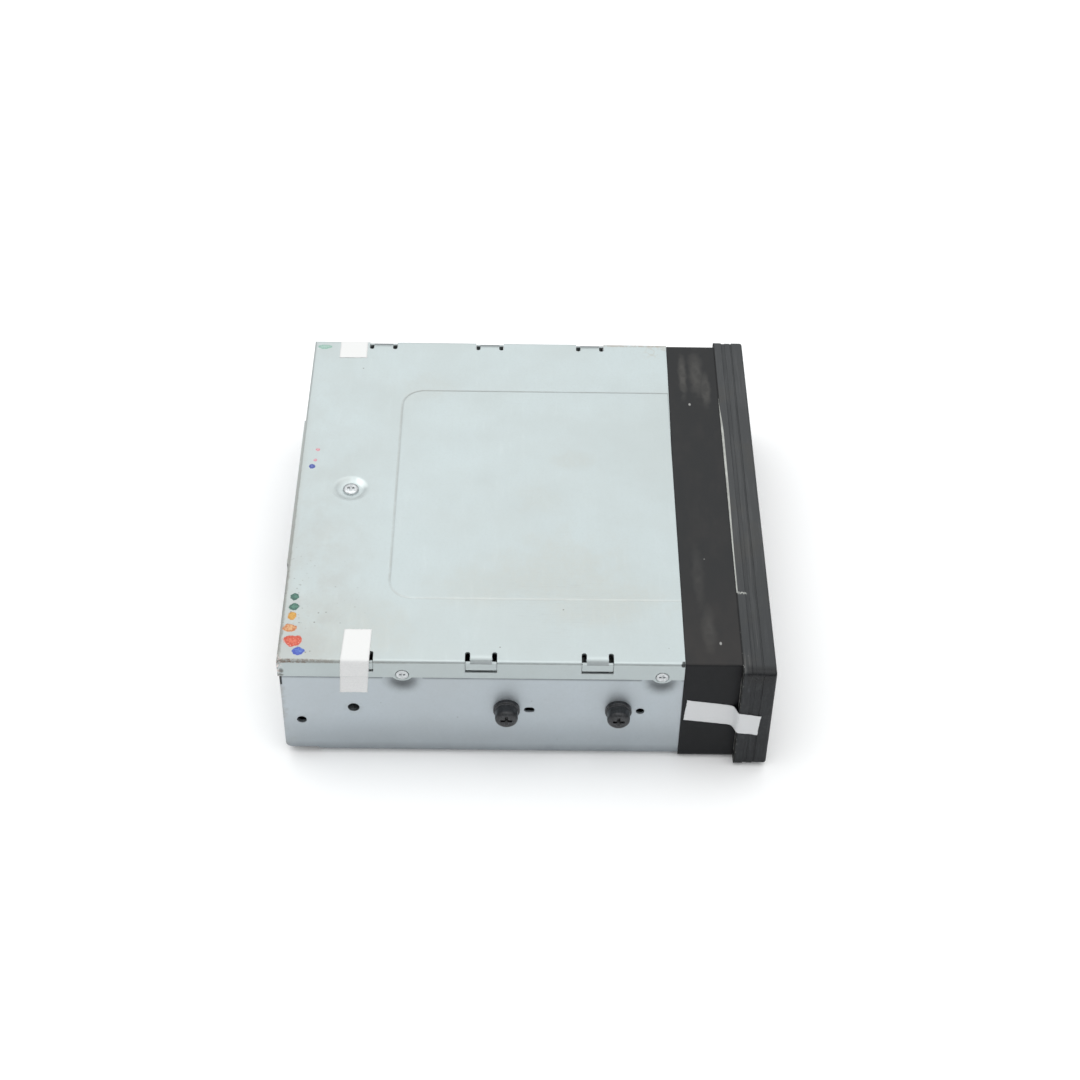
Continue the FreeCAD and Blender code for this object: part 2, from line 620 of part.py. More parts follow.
def make_door():
    py, pz = DOOR_PIVOT
    s = box(-DOOR_X, DOOR_X, -174.1, -171.9, pz, DOOR_TOP)
    s = fillet(s, 0.6, lambda a, b: near(a.z, DOOR_TOP) and near(b.z, DOOR_TOP) and near(a.y, -174.1) and near(b.y, -174.1))
    s = s.fuse(cyl(1.2, (-DOOR_X, py, pz), X_AX, 2 * DOOR_X))
    # finger scallop at the top and a fine raised line along the lower third
    s = s.cut(Part.makeSphere(22.0, V(0, -174.1 - 21.2, DOOR_TOP - 1.5)))
    s = s.cut(box(-70, 70, -174.2, -173.8, 19.6, 20.2))
    for sx in (-1, 1):
        s = s.fuse(cyl(DOOR_PIN_R, (sx * (DOOR_X - 1), py, pz), X_AX * sx, 4.0))
    return s.removeSplitter()


def make_slot_panel():
    s = box(-86.8, 86.8, -169.6, -168.0, 4.7, 45.3)
    s = s.cut(box(-63.5, 63.5, -171, -166, 28.3, 33.3))
    # lead-in round the slot
    s = s.cut(prism_yz([(-169.7, 27.4), (-168.5, 28.4), (-168.5, 33.2), (-169.7, 34.2)], -64.3, 64.3))
    s = s.cut(box(67.8, 76.2, -171, -166, 28.3, 33.7))  # eject button
    s = s.cut(box(81.9, 84.5, -171, -166, 25.1, 26.9))  # lamp
    s = s.cut(cyl(0.9, (-73.0, -172, 31.0), Y_AX, 6))  # reset pin hole
    for x, z in BOARD_POSTS:
        s = s.fuse(cyl(2.2, (x, -168.1, z), Y_AX, 6.6))
        s = s.cut(cyl(1.0, (x, -167.0, z), Y_AX, 8))
    return s.removeSplitter()


BOARD_POSTS = [(-76.0, 9.5), (0.0, 9.5), (62.0, 9.5), (81.5, 37.0)]


def make_front_board():
    s = box(-80, 80, -161.5, -160.3, 6, 22).fuse(box(66, 85.6, -161.5, -160.3, 6, 40.5))
    for x, z in BOARD_POSTS:
        s = s.cut(cyl(1.2, (x, -163, z), Y_AX, 4))
    return s.removeSplitter()


# ------------------------------------------------------------------ loader frame
PIVOT_R = 1.2  # pins of the gear train and of the roller arm
BRACKET_Y = -98.4
BRACKET_Z = (30.5, 36.5)



def step_off(p, dist, deg):
    """The point dist away from p, deg from +Y towards +Z."""
    return (p[0] + dist * math.cos(math.radians(deg)), p[1] + dist * math.sin(math.radians(deg)))


# The roller gear swings up with the arm into the small gear, along the line of their centres, so that the teeth go
# straight in; the arm's rest position is down, out of mesh.
_a = math.radians(-NIP_DEG)
_dy, _dz = ROLLER_AXIS[0] - ROLLER_PIVOT[0], ROLLER_AXIS[1] - ROLLER_PIVOT[1]
ROLLER_UP = (
    ROLLER_PIVOT[0] + _dy * math.cos(_a) - _dz * math.sin(_a),
    ROLLER_PIVOT[1] + _dy * math.sin(_a) + _dz * math.cos(_a),
)
_arm = math.hypot(_dy, _dz)
REDUCT_DIR = (
    math.degrees(math.atan2(ROLLER_UP[1] - ROLLER_PIVOT[1], ROLLER_UP[0] - ROLLER_PIVOT[0]))
    - math.degrees(math.acos(-GEAR_M * Z_ROLLER / 2 / _arm))
)
IDLER_DIR, PINION_DIR = 5.0, -5.0
REDUCT_YZ = step_off(ROLLER_UP, GEAR_M * (Z_ROLLER + Z_SMALL) / 2 + 0.03, REDUCT_DIR)
IDLER_YZ = step_off(REDUCT_YZ, GEAR_M * (Z_BIG + Z_IDLER) / 2 + 0.03, IDLER_DIR)
PINION_YZ = step_off(IDLER_YZ, GEAR_M * (Z_IDLER + Z_PINION) / 2 + 0.03, PINION_DIR)


def make_frame():
    items = []
    for sx in (-1, 1):
        items.append(box(sx * 68, sx * 69, -147, -16, 13, 40))
        for y in (-30.0, -122.0):
            items.append(box(sx * 68, sx * 69, y - 5, y + 5, 2.0, 13.1))
            items.append(box(sx * 68, sx * 79, y - 5, y + 5, 2.0, 3.0))
        for y in (-36.0, -118.0):
            items.append(box(sx * 55, sx * 68.5, y - 7, y + 7, 13, 14))
        items.append(box(sx * 54, sx * 68.5, -138, -128, 13, 14))
    items.append(box(-69, 69, -148, -147, 13, 22))
    items.append(box(-69, 69, -24, -16, 41, 42))
    for sx in (-1, 1):
        items.append(box(sx * 68, sx * 69, -24, -16, 39.9, 42))
    s = fuse(items)
    for sx in (-1, 1):
        for y in (-30.0, -122.0):
            s = s.cut(cyl(1.35, (sx * 74, y, 0), Z_AX, 5))
        s = s.cut(cyl(PIVOT_R + 0.02, (sx * 60, ROLLER_PIVOT[0], ROLLER_PIVOT[1]), X_AX * sx, 12))
        # room for the roller shaft's swing
        s = s.cut(box(sx * 67, sx * 70, -143.6, -137.6, 22.4, 30.6))
    for py, pz in (REDUCT_YZ, IDLER_YZ):
        s = s.cut(cyl(PIVOT_R + 0.02, (-70, py, pz), X_AX, 3))
    for z in BRACKET_Z:
        s = s.cut(cyl(1.25, (-70, BRACKET_Y, z), X_AX, 3))
    for y in (-60.0, -88.0):  # lightening windows
        for sx in (-1, 1):
            s = s.cut(box(sx * 67, sx * 70, y - 10, y + 10, 19, 26))
    return s.removeSplitter()


def make_guide():
    s = box(-68, 68, -147, -129, 33.3, 34.8)
    for sx in (-1, 1):
        s = s.fuse(box(sx * 62.6, sx * 68, -130, -30, 33.3, 34.8))
    # front lip turned up and two gliding ribs
    s = s.fuse(prism_yz([(-147, 33.3), (-147, 34.8), (-151.5, 36.6), (-151.5, 35.1)], -66, 66))
    for x in (-30, 30):
        s = s.fuse(box(x - 1, x + 1, -146, -130, 34.7, 36.2))
    return s.removeSplitter()


# ------------------------------------------------------------------ floating deck
DAMPERS = [(-61.0, -36.0), (61.0, -36.0), (-61.0, -118.0), (61.0, -118.0)]


def make_deck():
    s = box(-63.5, 63.5, -124, -14.2, DECK_Z, DECK_Z + 1)
    s = s.cut(box(-13, 13, -74, -16, DECK_Z - 1, DECK_Z + 2))
    s = s.cut(cyl(5.0, (0, SPINDLE_Y, DECK_Z - 1), Z_AX, 3))
    s = s.cut(box(29.8, 40.2, -30.6, -16.4, DECK_Z - 1, DECK_Z + 2))
    for x, y in [(-44, -100), (44, -100), (-44, -56), (48, -60)]:
        s = s.cut(cyl(7.0, (x, y, DECK_Z - 1), Z_AX, 3))
    for sx in (-1, 1):
        s = s.fuse(box(sx * 62.5, sx * 63.5, -108, -46, 17, DECK_Z + 0.5))
    s = s.fuse(box(-55, 55, -124, -123, 18, DECK_Z + 0.5))
    for x, y in DAMPERS:
        s = s.fuse(cyl(1.2, (x, y, 17.0), Z_AX, DECK_Z - 17.0 + 0.2))
    py, pz = ARM_PIVOT
    for sx in (-1, 1):
        s = s.fuse(box(sx * 21, sx * 22, -21.5, -14.5, DECK_Z + 0.5, 36.6))
        s = s.cut(cyl(1.02, (sx * 20, py, pz), X_AX * sx, 4))
    for h in rod_holders():
        s = s.fuse(h)
    return s.removeSplitter()


def rod_holders():
    out = []
    for x in (-ROD_X, ROD_X):
        for y in (-76.6, -15.6):
            h = box(x - 3, x + 3, y, y + 2.2 if y < -50 else y + 1.4, 15.6, DECK_Z + 0.2)
            h = h.cut(cyl(ROD_R + 0.02, (x, y + (0.8 if y < -50 else -1.0), ROD_Z), Y_AX, 2.0))
            out.append(h)
    b = box(SCREW_X - 3, SCREW_X + 3, -76.2, -73.8, 15.6, DECK_Z + 0.2)
    b = b.cut(cyl(0.85, (SCREW_X, -77, ROD_Z), Y_AX, 5))
    out.append(b)
    return out


def make_clamp_arm():
    py, pz = ARM_PIVOT
    s = box(-13, 13, -90, -18, 33.5, 34.5)
    s = s.fuse(cyl(13, (0, SPINDLE_Y, 33.5), Z_AX, 1.0))
    s = s.cut(box(-20, 20, -110, -86 - 13.5, 30, 40))
    for sx in (-1, 1):
        s = s.fuse(box(sx * 12, sx * 13, -82, -28, 34.4, 36.6))
    s = s.fuse(cyl(2.2, (-20.5, py, pz), X_AX, 41))
    s = s.cut(cyl(1.05, (-22, py, pz), X_AX, 44))
    s = s.cut(cyl(6.0, (0, SPINDLE_Y, 32), Z_AX, 4))
    s = s.cut(stadium_z(0, -54, 26, 12, 32, 36, "y"))
    return s.removeSplitter()


def make_clamper():
    return revolve(
        [
            (0, 29.0), (8.0, 29.0), (8.0, 27.6), (12.0, 27.6), (12.0, 29.6), (7.0, 30.6), (7.0, 33.3), (5.94, 33.3),
            (5.94, 34.7), (8.2, 34.7), (8.2, 35.6), (3.0, 36.2), (0, 36.2),
        ],
        (0, SPINDLE_Y, 0), Z_AX, X_AX,
    )


def lift(shape):
    """Turns a clamp arm piece from the clamped to the empty, raised position."""
    s = shape.copy()
    s.rotate(V(0, ARM_PIVOT[0], ARM_PIVOT[1]), X_AX, -ARM_LIFT)
    return s


def make_sled():
    y0, y1 = -71.0, -53.0
    s = box(-20, 22, y0, y1, 15.0, 20.4)
    s = s.fuse(cyl(3.1, (ROD_X, y0, ROD_Z), Y_AX, y1 - y0).common(box(0, 60, y0, y1, 10, 20.6)))
    s = s.fuse(box(20, ROD_X, y0, y1, 16.2, 20.4))
    s = s.cut(cyl(ROD_R + 0.04, (ROD_X, y0 - 1, ROD_Z), Y_AX, 30))
    s = s.cut(box(22.0, 34, y0 + 6, y1 - 6, 10, 21))  # two separate bearings
    fork = box(-28.4, -19, -64.5, -59.5, 15.6, 20.6)
    fork = fork.cut(box(-30, -24.0, -66, -58, ROD_Z - ROD_R - 0.06, ROD_Z + ROD_R + 0.06))
    s = s.fuse(fork)
    s = s.fuse(cyl(7.0, (0, -62, 20.3), Z_AX, 2.9))
    s = s.cut(cyl(2.65, (0, -62, 21.2), Z_AX, 4))
    return s.removeSplitter()


def make_lens():
    return revolve(
        [(0, 21.9), (2.4, 21.9), (2.4, 23.5), (1.9, 23.6), (1.5, 23.85), (0.9, 24.0), (0, 24.05)], (0, -62, 0), Z_AX, X_AX
    )


def make_lead_screw():
    prof = [(0, -76.1), (0.8, -76.1), (0.8, -73.6), (1.1, -73.6)]
    y = -73.4
    while y < -33.9:
        prof += [(1.5, y), (1.5, y + 1.2), (1.1, y + 1.6), (1.1, y + 2.5)]
        y += 3.0
    prof += [(1.5, -31.0), (1.5, -30.6), (0.8, -30.6), (0.8, -27.2), (0, -27.2)]
    return revolve(prof, (SCREW_X, 0, ROD_Z), Y_AX, X_AX)


def make_sled_nut():
    s = box(14, 38, -70, -65, 14.1, 15.0)
    s = s.fuse(box(31.5, 38, -70, -65, 14.1, 20.4))
    s = s.cut(cyl(1.56, (SCREW_X, -72, ROD_Z), Y_AX, 9))
    return s.removeSplitter()


def make_roller_arm():
    py, pz = ROLLER_PIVOT
    ry, rz = ROLLER_AXIS
    items = []
    for sx in (-1, 1):
        side = prism_yz(
            [(py + 2.6, pz - 2.6), (py + 2.6, pz + 2.6), (ry, rz + 2.6), (ry - 2.6, rz + 1.5), (ry - 2.6, rz - 1.5), (ry, rz - 2.6), (py - 3, 17.6)],
            sx * 65.6, sx * 66.6,
        )
        items.append(side)
    items.append(box(-66.5, 66.5, -135.0, -131.0, 18.2, 19.2))
    s = fuse(items)
    for sx in (-1, 1):
        s = s.cut(cyl(1.53, (sx * 62, ry, rz), X_AX * sx, 8))
        s = s.cut(cyl(PIVOT_R + 0.05, (sx * 62, py, pz), X_AX * sx, 8))
    return s.removeSplitter()


def make_roller():
    ry, rz = ROLLER_AXIS
    return revolve([(1.52, -63.5), (4.0, -63.5), (3.2, -3), (3.2, 3), (4.0, 63.5), (1.52, 63.5)], (0, ry, rz), X_AX, Z_AX)


def ribbon_path(th):
    """Flat cable from the main board up to the floating deck: (y, z) points, offset by half the thickness."""
    pts = []
    cy, cz, r = -100.0, 14.6, 4.2
    for k in range(0, 13):
        a = math.radians(-90 + 180 * k / 12.0)
        pts.append((cy - (r + th) * math.cos(a), cz + (r + th) * math.sin(a)))
    return pts


def make_ribbon():
    o = ribbon_path(0.12)
    i = ribbon_path(-0.12)
    o = [(-90.0, o[0][1])] + o + [(-96.6, o[-1][1])]
    i = [(-90.0, i[0][1])] + i + [(-96.6, i[-1][1])]
    return prism_yz(o + list(reversed(i)), 18, 36)


# ------------------------------------------------------------------ paper tape
def wrapped_tape(sx, x_end, y0, y1, low):
    """Tape that runs over the cover's rounded edge and down the side; low is its (y, z) outline on the chassis side."""
    t = 0.15
    hw = CASE_W / 2
    o = box(sx * (hw + t), sx * x_end, y0, y1, 41.5, CASE_H + t)
    o = fillet(o, 1.15, lambda a, b: near(a.z, CASE_H + t) and near(b.z, CASE_H + t) and near(abs(a.x), hw + t) and near(a.x, b.x))
    i = box(sx * hw, sx * (x_end - 5), y0 - 1, y1 + 1, 30, CASE_H)
    i = fillet(i, 1.0, lambda a, b: near(a.z, CASE_H) and near(b.z, CASE_H) and near(abs(a.x), hw) and near(a.x, b.x))
    s = o.cut(i)
    s = s.fuse(box(sx * (hw + t), sx * CHASSIS_X, y0, y1, 41.5, 41.5 + t))
    s = s.fuse(prism_yz(low, sx * CHASSIS_X, sx * (CHASSIS_X + t)))
    return s.removeSplitter()


def make_tape_front():
    t = 0.15
    a, b = COLLAR_X, BEZEL_X
    plan = prism_xy(
        [(-a, -143.2), (-a, -160.8), (-b, -162.45), (-b, -171), (-b - t, -171), (-b - t, -162.36), (-a - t, -160.71), (-a - t, -143.2)], 10, 40
    )
    strip = prism_yz([(-143.5, 31.2), (-162.4, 28.5), (-170.5, 27.1), (-170.1, 17.2), (-162.4, 18.35), (-143.4, 20.9)], -b - 5, -a + 5)
    return plan.common(strip).removeSplitter()


# ------------------------------------------------------------------ build everything
save("chassis", make_chassis())
save("top_cover", make_cover())
save("rear_panel", make_rear())
make_sockets()
save("rear_panel_screws", [pan_screw((x, -0.9, z), V(0, -1, 0), 2.5, 1.6, 1.25, 4.0, 2.6) for x, z in REAR_SCREWS])
save("front_collar", make_collar())
save("bezel", make_bezel())
save("front_door", make_door())
save("slot_panel", make_slot_panel())
save("slot_felts", [box(-63.5, 63.5, -168.0, -166.8, 33.0, 37.0), box(-63.5, 63.5, -168.0, -166.8, 24.6, 28.6)])
btn = box(68.1, 75.9, -171.0, -167.0, 28.6, 33.4)
btn = btn.makeFillet(0.5, [e for e in btn.Edges if all(near(v.Point.y, -171.0) for v in e.Vertexes)])
btn = btn.fuse(box(66.9, 77.1, -167.9, -167.0, 27.5, 34.5)).fuse(cyl(1.5, (72.0, -167.1, 31.0), Y_AX, 1.1)).removeSplitter()
save("eject_button", btn)
save(
    "front_board_parts",
    [
        box(69.0, 75.0, -164.6, -161.5, 28.0, 34.0).fuse(cyl(1.7, (72.0, -165.0, 31.0), Y_AX, 0.6)).removeSplitter(),
        box(81.7, 84.7, -163.3, -161.5, 25.0, 27.0),
        box(-30.0, -10.0, -163.5, -161.5, 9.0, 14.0),
        box(-40.0, -18.0, -160.3, -156.0, 8.0, 13.0),
    ],
)
save("status_lens", box(82.1, 84.3, -174.25, -164.0, 25.3, 26.7))
save("front_board", make_front_board())

board = box(-66, 66, -134, -4, 5.5, 7.1)
STAND = [(-62.5, -16.5), (62.5, -16.5), (-62.5, -130.0), (62.5, -130.0)]
for x, y in STAND:
    board = board.cut(cyl(1.2, (x, y, 4), Z_AX, 5))
save("main_board", board)
chips = [
    (-22, 4, -58, -32, 2.2), (20, 44, -60, -36, 1.8), (-54, -40, -60, -40, 1.6), (-50, -32, -96, -84, 1.6), (-8, 12, -128, -110, 1.8),
    (24, 38, -122, -112, 1.5), (-54, -36, -124, -112, 1.5), (46, 58, -94, -82, 1.5), (-24, -14, -112, -102, 1.4), (48, 60, -30, -22, 2.6),
]
save("main_board_chips", [box(a, b, c, d, 7.1, 7.1 + h) for a, b, c, d, h in chips])
caps = []
for x, y, r, h in [(-60, -30, 3.1, 5.4), (-52, -30, 3.1, 5.4), (-44, -30, 2.5, 5.2), (40, -20, 3.1, 5.4), (10, -80, 2.5, 5.2), (18, -80, 2.5, 5.2), (56, -70, 3.1, 5.4), (-20, -80, 2.5, 5.2)]:
    c = cyl(r, (x, y, 7.1), Z_AX, h)
    c = c.makeFillet(0.4, [e for e in c.Edges if e.Curve.TypeId == "Part::GeomCircle" and near(e.CenterOfMass.z, 7.1 + h)])
    caps.append(c)
save("board_capacitors", caps)
save("cable_socket", box(16, 38, -92.6, -86.6, 7.1, 11.6).cut(box(17.5, 36.5, -93, -89, 10.1, 10.8)))
save("deck_socket", box(17.0, 37.0, -97.0, -93.0, 19.05, DECK_Z))
save("board_standoffs", [tube(2.6, 1.0, (x, y, 1.0), Z_AX, 4.5) for x, y in STAND])
save(
    "board_screws",
    [pan_screw((x, y, 7.1), V(0, 0, -1), 2.2, 1.3, 0.95, 5.0, 2.2) for x, y in STAND]
    + [pan_screw((x, -160.3, z), V(0, -1, 0), 2.2, 1.3, 0.95, 5.0, 2.2) for x, z in BOARD_POSTS],
)

# bracket under the cover's middle screw, standing on the rear panel
br = box(-9, 9, -27, -2.0, 46.9, 47.9).fuse(box(-9, 9, -3.0, -2.0, 29, 47.5))
br = br.cut(cyl(1.3, (0, TOP_SCREW_Y, 46), Z_AX, 3))
br = br.cut(cyl(1.3, (0, -4, 33), Y_AX, 3))
save("cover_bracket", br.removeSplitter())
save("cover_top_screw", pan_screw((0, TOP_SCREW_Y, CASE_H - 0.9), V(0, 0, -1), 3.0, 1.05, 1.25, 4.9, 3.2))
save("cover_side_screws", [csk_screw((sx * (CASE_W / 2 - 0.12), y, SIDE_SCREW_Z), X_AX * (-sx), 2.12, 1.25, 4.2, 2.7) for sx in (-1, 1) for y in SIDE_SCREW_Y])
save("mounting_screws", [m5_screw(sx, y) for sx in (-1, 1) for y in M5_Y])

save("loader_frame", make_frame())
save(
    "bottom_screws",
    [pan_screw((sx * 74, y, 0.98), Z_AX, 2.6, 0.85, 1.3, 3.2, 2.8) for sx in (-1, 1) for y in (-30.0, -122.0)]
    + [pan_screw((sx * 60, -138.0, 0.88), Z_AX, 2.6, 0.8, 1.05, 3.2, 2.8) for sx in (-1, 1)],
)
save("upper_disc_guide", make_guide())

# gear train on the left side of the frame
iy, iz = IDLER_YZ
ry, rz = ROLLER_AXIS
save(
    "pivot_pins",
    [
        cyl(PIVOT_R, (-69.4, ROLLER_PIVOT[0], ROLLER_PIVOT[1]), X_AX, 5.0),
        cyl(PIVOT_R, (64.4, ROLLER_PIVOT[0], ROLLER_PIVOT[1]), X_AX, 5.0),
        cyl(PIVOT_R, (-76.0, REDUCT_YZ[0], REDUCT_YZ[1]), X_AX, 8.0),
        cyl(PIVOT_R, (-76.0, iy, iz), X_AX, 8.0),
    ],
)


def mesh_turn(driver_turn, z_driver, z_driven, direction):
    """Where a tooth of the driven gear points so that it falls in the driver's gap; direction is driver to driven."""
    phase = ((direction - driver_turn) / (360.0 / z_driver)) % 1.0
    return direction + 180.0 + (phase + 0.5) * 360.0 / z_driven


roller_turn = 4.0
roller_gear = gear(Z_ROLLER, -72.6, -70.6, ry, rz, roller_turn, 1.5)
roller_gear = roller_gear.fuse(tube(3.2, 1.5, (-73.4, ry, rz), X_AX, 0.9))
save("roller_gear", roller_gear.removeSplitter())
small_turn = mesh_turn(roller_turn - NIP_DEG, Z_ROLLER, Z_SMALL, REDUCT_DIR)
big_turn = 0.0
red = gear(Z_SMALL, -73.7, -70.4, REDUCT_YZ[0], REDUCT_YZ[1], small_turn, PIVOT_R + 0.05)
red = red.fuse(gear(Z_BIG, -75.5, -73.6, REDUCT_YZ[0], REDUCT_YZ[1], big_turn, PIVOT_R + 0.05))
for k in range(6):
    a = math.radians(60 * k + 30)
    red = red.cut(cyl(1.3, (-76, REDUCT_YZ[0] + 6.0 * math.cos(a), REDUCT_YZ[1] + 6.0 * math.sin(a)), X_AX, 4))
save("reduction_gear", red.removeSplitter())
idler_turn = mesh_turn(big_turn, Z_BIG, Z_IDLER, IDLER_DIR)
idler = gear(Z_IDLER, -75.5, -73.6, iy, iz, idler_turn, PIVOT_R + 0.05)
idler = idler.fuse(tube(2.2, PIVOT_R + 0.05, (-73.7, iy, iz), X_AX, 3.3))
for k in range(5):
    a = math.radians(72 * k + 20)
    idler = idler.cut(cyl(1.1, (-76, iy + 3.8 * math.cos(a), iz + 3.8 * math.sin(a)), X_AX, 4))
save("idler_gear", idler.removeSplitter())
py, pz = PINION_YZ
pin = gear(Z_PINION, -75.7, -73.4, py, pz, mesh_turn(idler_turn, Z_IDLER, Z_PINION, PINION_DIR), 0)
pin = pin.fuse(cyl(0.75, (-78.8, py, pz), X_AX, 4.0))
save("motor_pinion", pin.removeSplitter())
mot = cyl(6.0, (-85.0, py, pz), X_AX, 7.7).cut(box(-90, -70, py - 10, py + 10, pz + 5.0, pz + 9)).cut(box(-90, -70, py - 10, py + 10, pz - 9, pz - 5.0))
mot = mot.fuse(cyl(2.0, (-85.6, py, pz), X_AX, 1.0)).cut(cyl(0.8, (-79.5, py, pz), X_AX, 5))
save("loading_motor", mot.removeSplitter())
by = BRACKET_Y
mb = box(-77.3, -76.3, py - 7, by - 3.4, pz - 7, pz + 7).fuse(box(-77.3, -69.0, by - 4.4, by - 3.4, 27, 39.8)).fuse(box(-70.0, -69.0, by - 4.4, by + 3.0, 27, 39.8))
mb = mb.cut(cyl(2.2, (-78, py, pz), X_AX, 3))
for z in BRACKET_Z:
    mb = mb.cut(cyl(1.3, (-71, by, z), X_AX, 3))
save("motor_bracket", mb.removeSplitter())
save("motor_bracket_screws", [pan_screw((-70.0, by, z), X_AX, 2.2, 1.3, 1.2, 3.4, 2.2) for z in BRACKET_Z])

# roller unit
save("roller_arm", make_roller_arm())
save("loading_roller", make_roller())
save("roller_shaft", cyl(1.47, (-73.4, ry, rz), X_AX, 73.4 + 66.5))
save("roller_springs", [spring(2.0, 0.25, 3.5, 3, (sx * 60.0, -133.0, 14.3), "z") for sx in (-1, 1)])

# floating deck
save("deck_plate", make_deck())
dampers = []
for x, y in DAMPERS:
    d = revolve(
        [(1.25, 20.3), (3.0, 20.3), (3.0, 19.2), (4.6, 18.4), (4.6, 14.9), (5.0, 14.0), (0, 14.0), (0, 15.2), (1.25, 15.2)], (x, y, 0), Z_AX, X_AX
    )
    dampers.append(d)
save("rubber_dampers", dampers)
save("deck_springs", [spring(5.7, 0.35, 5.9, 3, (x, y, 14.5), "z") for x, y in DAMPERS])
save("guide_rods", [cyl(ROD_R, (x, -75.7, ROD_Z), Y_AX, 61.0) for x in (-ROD_X, ROD_X)])
motor = cyl(11.0, (0, SPINDLE_Y, 15.4), Z_AX, 5.6).cut(cyl(1.04, (0, SPINDLE_Y, 16.0), Z_AX, 8))
motor = motor.fuse(cyl(4.0, (0, SPINDLE_Y, 20.9), Z_AX, 0.9).cut(cyl(1.04, (0, SPINDLE_Y, 16.0), Z_AX, 8))).removeSplitter()
save("spindle_motor", motor)
save(
    "turntable",
    revolve(
        [(0, 16.6), (1.0, 16.6), (1.0, 22.6), (11.5, 22.6), (11.5, 24.2), (13.0, 24.4), (13.0, 26.3), (9.4, 26.3), (9.4, 26.0), (7.4, 26.0), (7.4, 27.4), (6.6, 28.2), (2.0, 28.2), (0, 28.0)],
        (0, SPINDLE_Y, 0), Z_AX, X_AX,
    ),
)
sm = cyl(4.2, (SCREW_X, -30.0, ROD_Z), Y_AX, 12.6).cut(cyl(0.84, (SCREW_X, -31, ROD_Z), Y_AX, 5.0))
sm = sm.fuse(box(SCREW_X - 4.6, SCREW_X + 4.6, -30.3, -29.7, ROD_Z - 4.2, DECK_Z).cut(cyl(1.6, (SCREW_X, -31, ROD_Z), Y_AX, 3))).removeSplitter()
save("sled_motor", sm)
save("lead_screw", make_lead_screw())
save("pickup_sled", make_sled())
save("pickup_lens", make_lens())
save("sled_nut", make_sled_nut())
save("clamp_arm", lift(make_clamp_arm()))
save("disc_clamper", lift(make_clamper()))
save("clamp_pin", cyl(1.0, (-22.6, ARM_PIVOT[0], ARM_PIVOT[1]), X_AX, 45.2))
save("clamp_spring", spring(2.75, 0.3, 4.2, 4, (14.6, ARM_PIVOT[0], ARM_PIVOT[1]), "x"))
save("ribbon_cable", make_ribbon())

save(
    "paper_tape",
    [
        wrapped_tape(-1, 73.8, -32.4, -22.7, [(-32.4, 41.65), (-22.7, 41.65), (-21.3, 33.1), (-31.1, 32.8)]),
        wrapped_tape(1, 78.2, -21.6, -10.5, [(-21.6, 41.65), (-10.5, 41.65), (-10.5, 34.0), (-21.6, 34.0)]),
        make_tape_front(),
    ],
)

print(len(COUNT), "nodes,", sum(COUNT.values()), "solids")
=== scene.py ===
import json
import math
import random

import bmesh
import bpy
from mathutils import Matrix, Vector, noise

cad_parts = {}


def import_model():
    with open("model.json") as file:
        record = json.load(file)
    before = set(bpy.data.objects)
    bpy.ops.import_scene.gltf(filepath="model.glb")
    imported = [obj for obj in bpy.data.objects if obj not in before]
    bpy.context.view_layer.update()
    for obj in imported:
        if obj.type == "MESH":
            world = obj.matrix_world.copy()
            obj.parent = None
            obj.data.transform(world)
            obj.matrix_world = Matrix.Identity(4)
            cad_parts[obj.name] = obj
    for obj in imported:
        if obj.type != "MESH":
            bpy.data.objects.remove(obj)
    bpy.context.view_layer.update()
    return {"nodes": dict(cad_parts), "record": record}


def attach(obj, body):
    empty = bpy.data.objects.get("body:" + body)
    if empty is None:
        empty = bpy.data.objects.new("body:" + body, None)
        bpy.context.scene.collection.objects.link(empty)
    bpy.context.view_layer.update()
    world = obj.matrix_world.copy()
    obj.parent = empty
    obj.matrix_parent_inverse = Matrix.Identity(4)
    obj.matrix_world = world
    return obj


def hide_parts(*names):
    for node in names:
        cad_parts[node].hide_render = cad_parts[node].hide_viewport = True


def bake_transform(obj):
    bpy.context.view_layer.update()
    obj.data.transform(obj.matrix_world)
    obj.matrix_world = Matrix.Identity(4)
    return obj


Y0 = 86.15  # the cover's rear edge stands this far behind the origin, in millimetres

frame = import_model()
NODES = frame["nodes"]


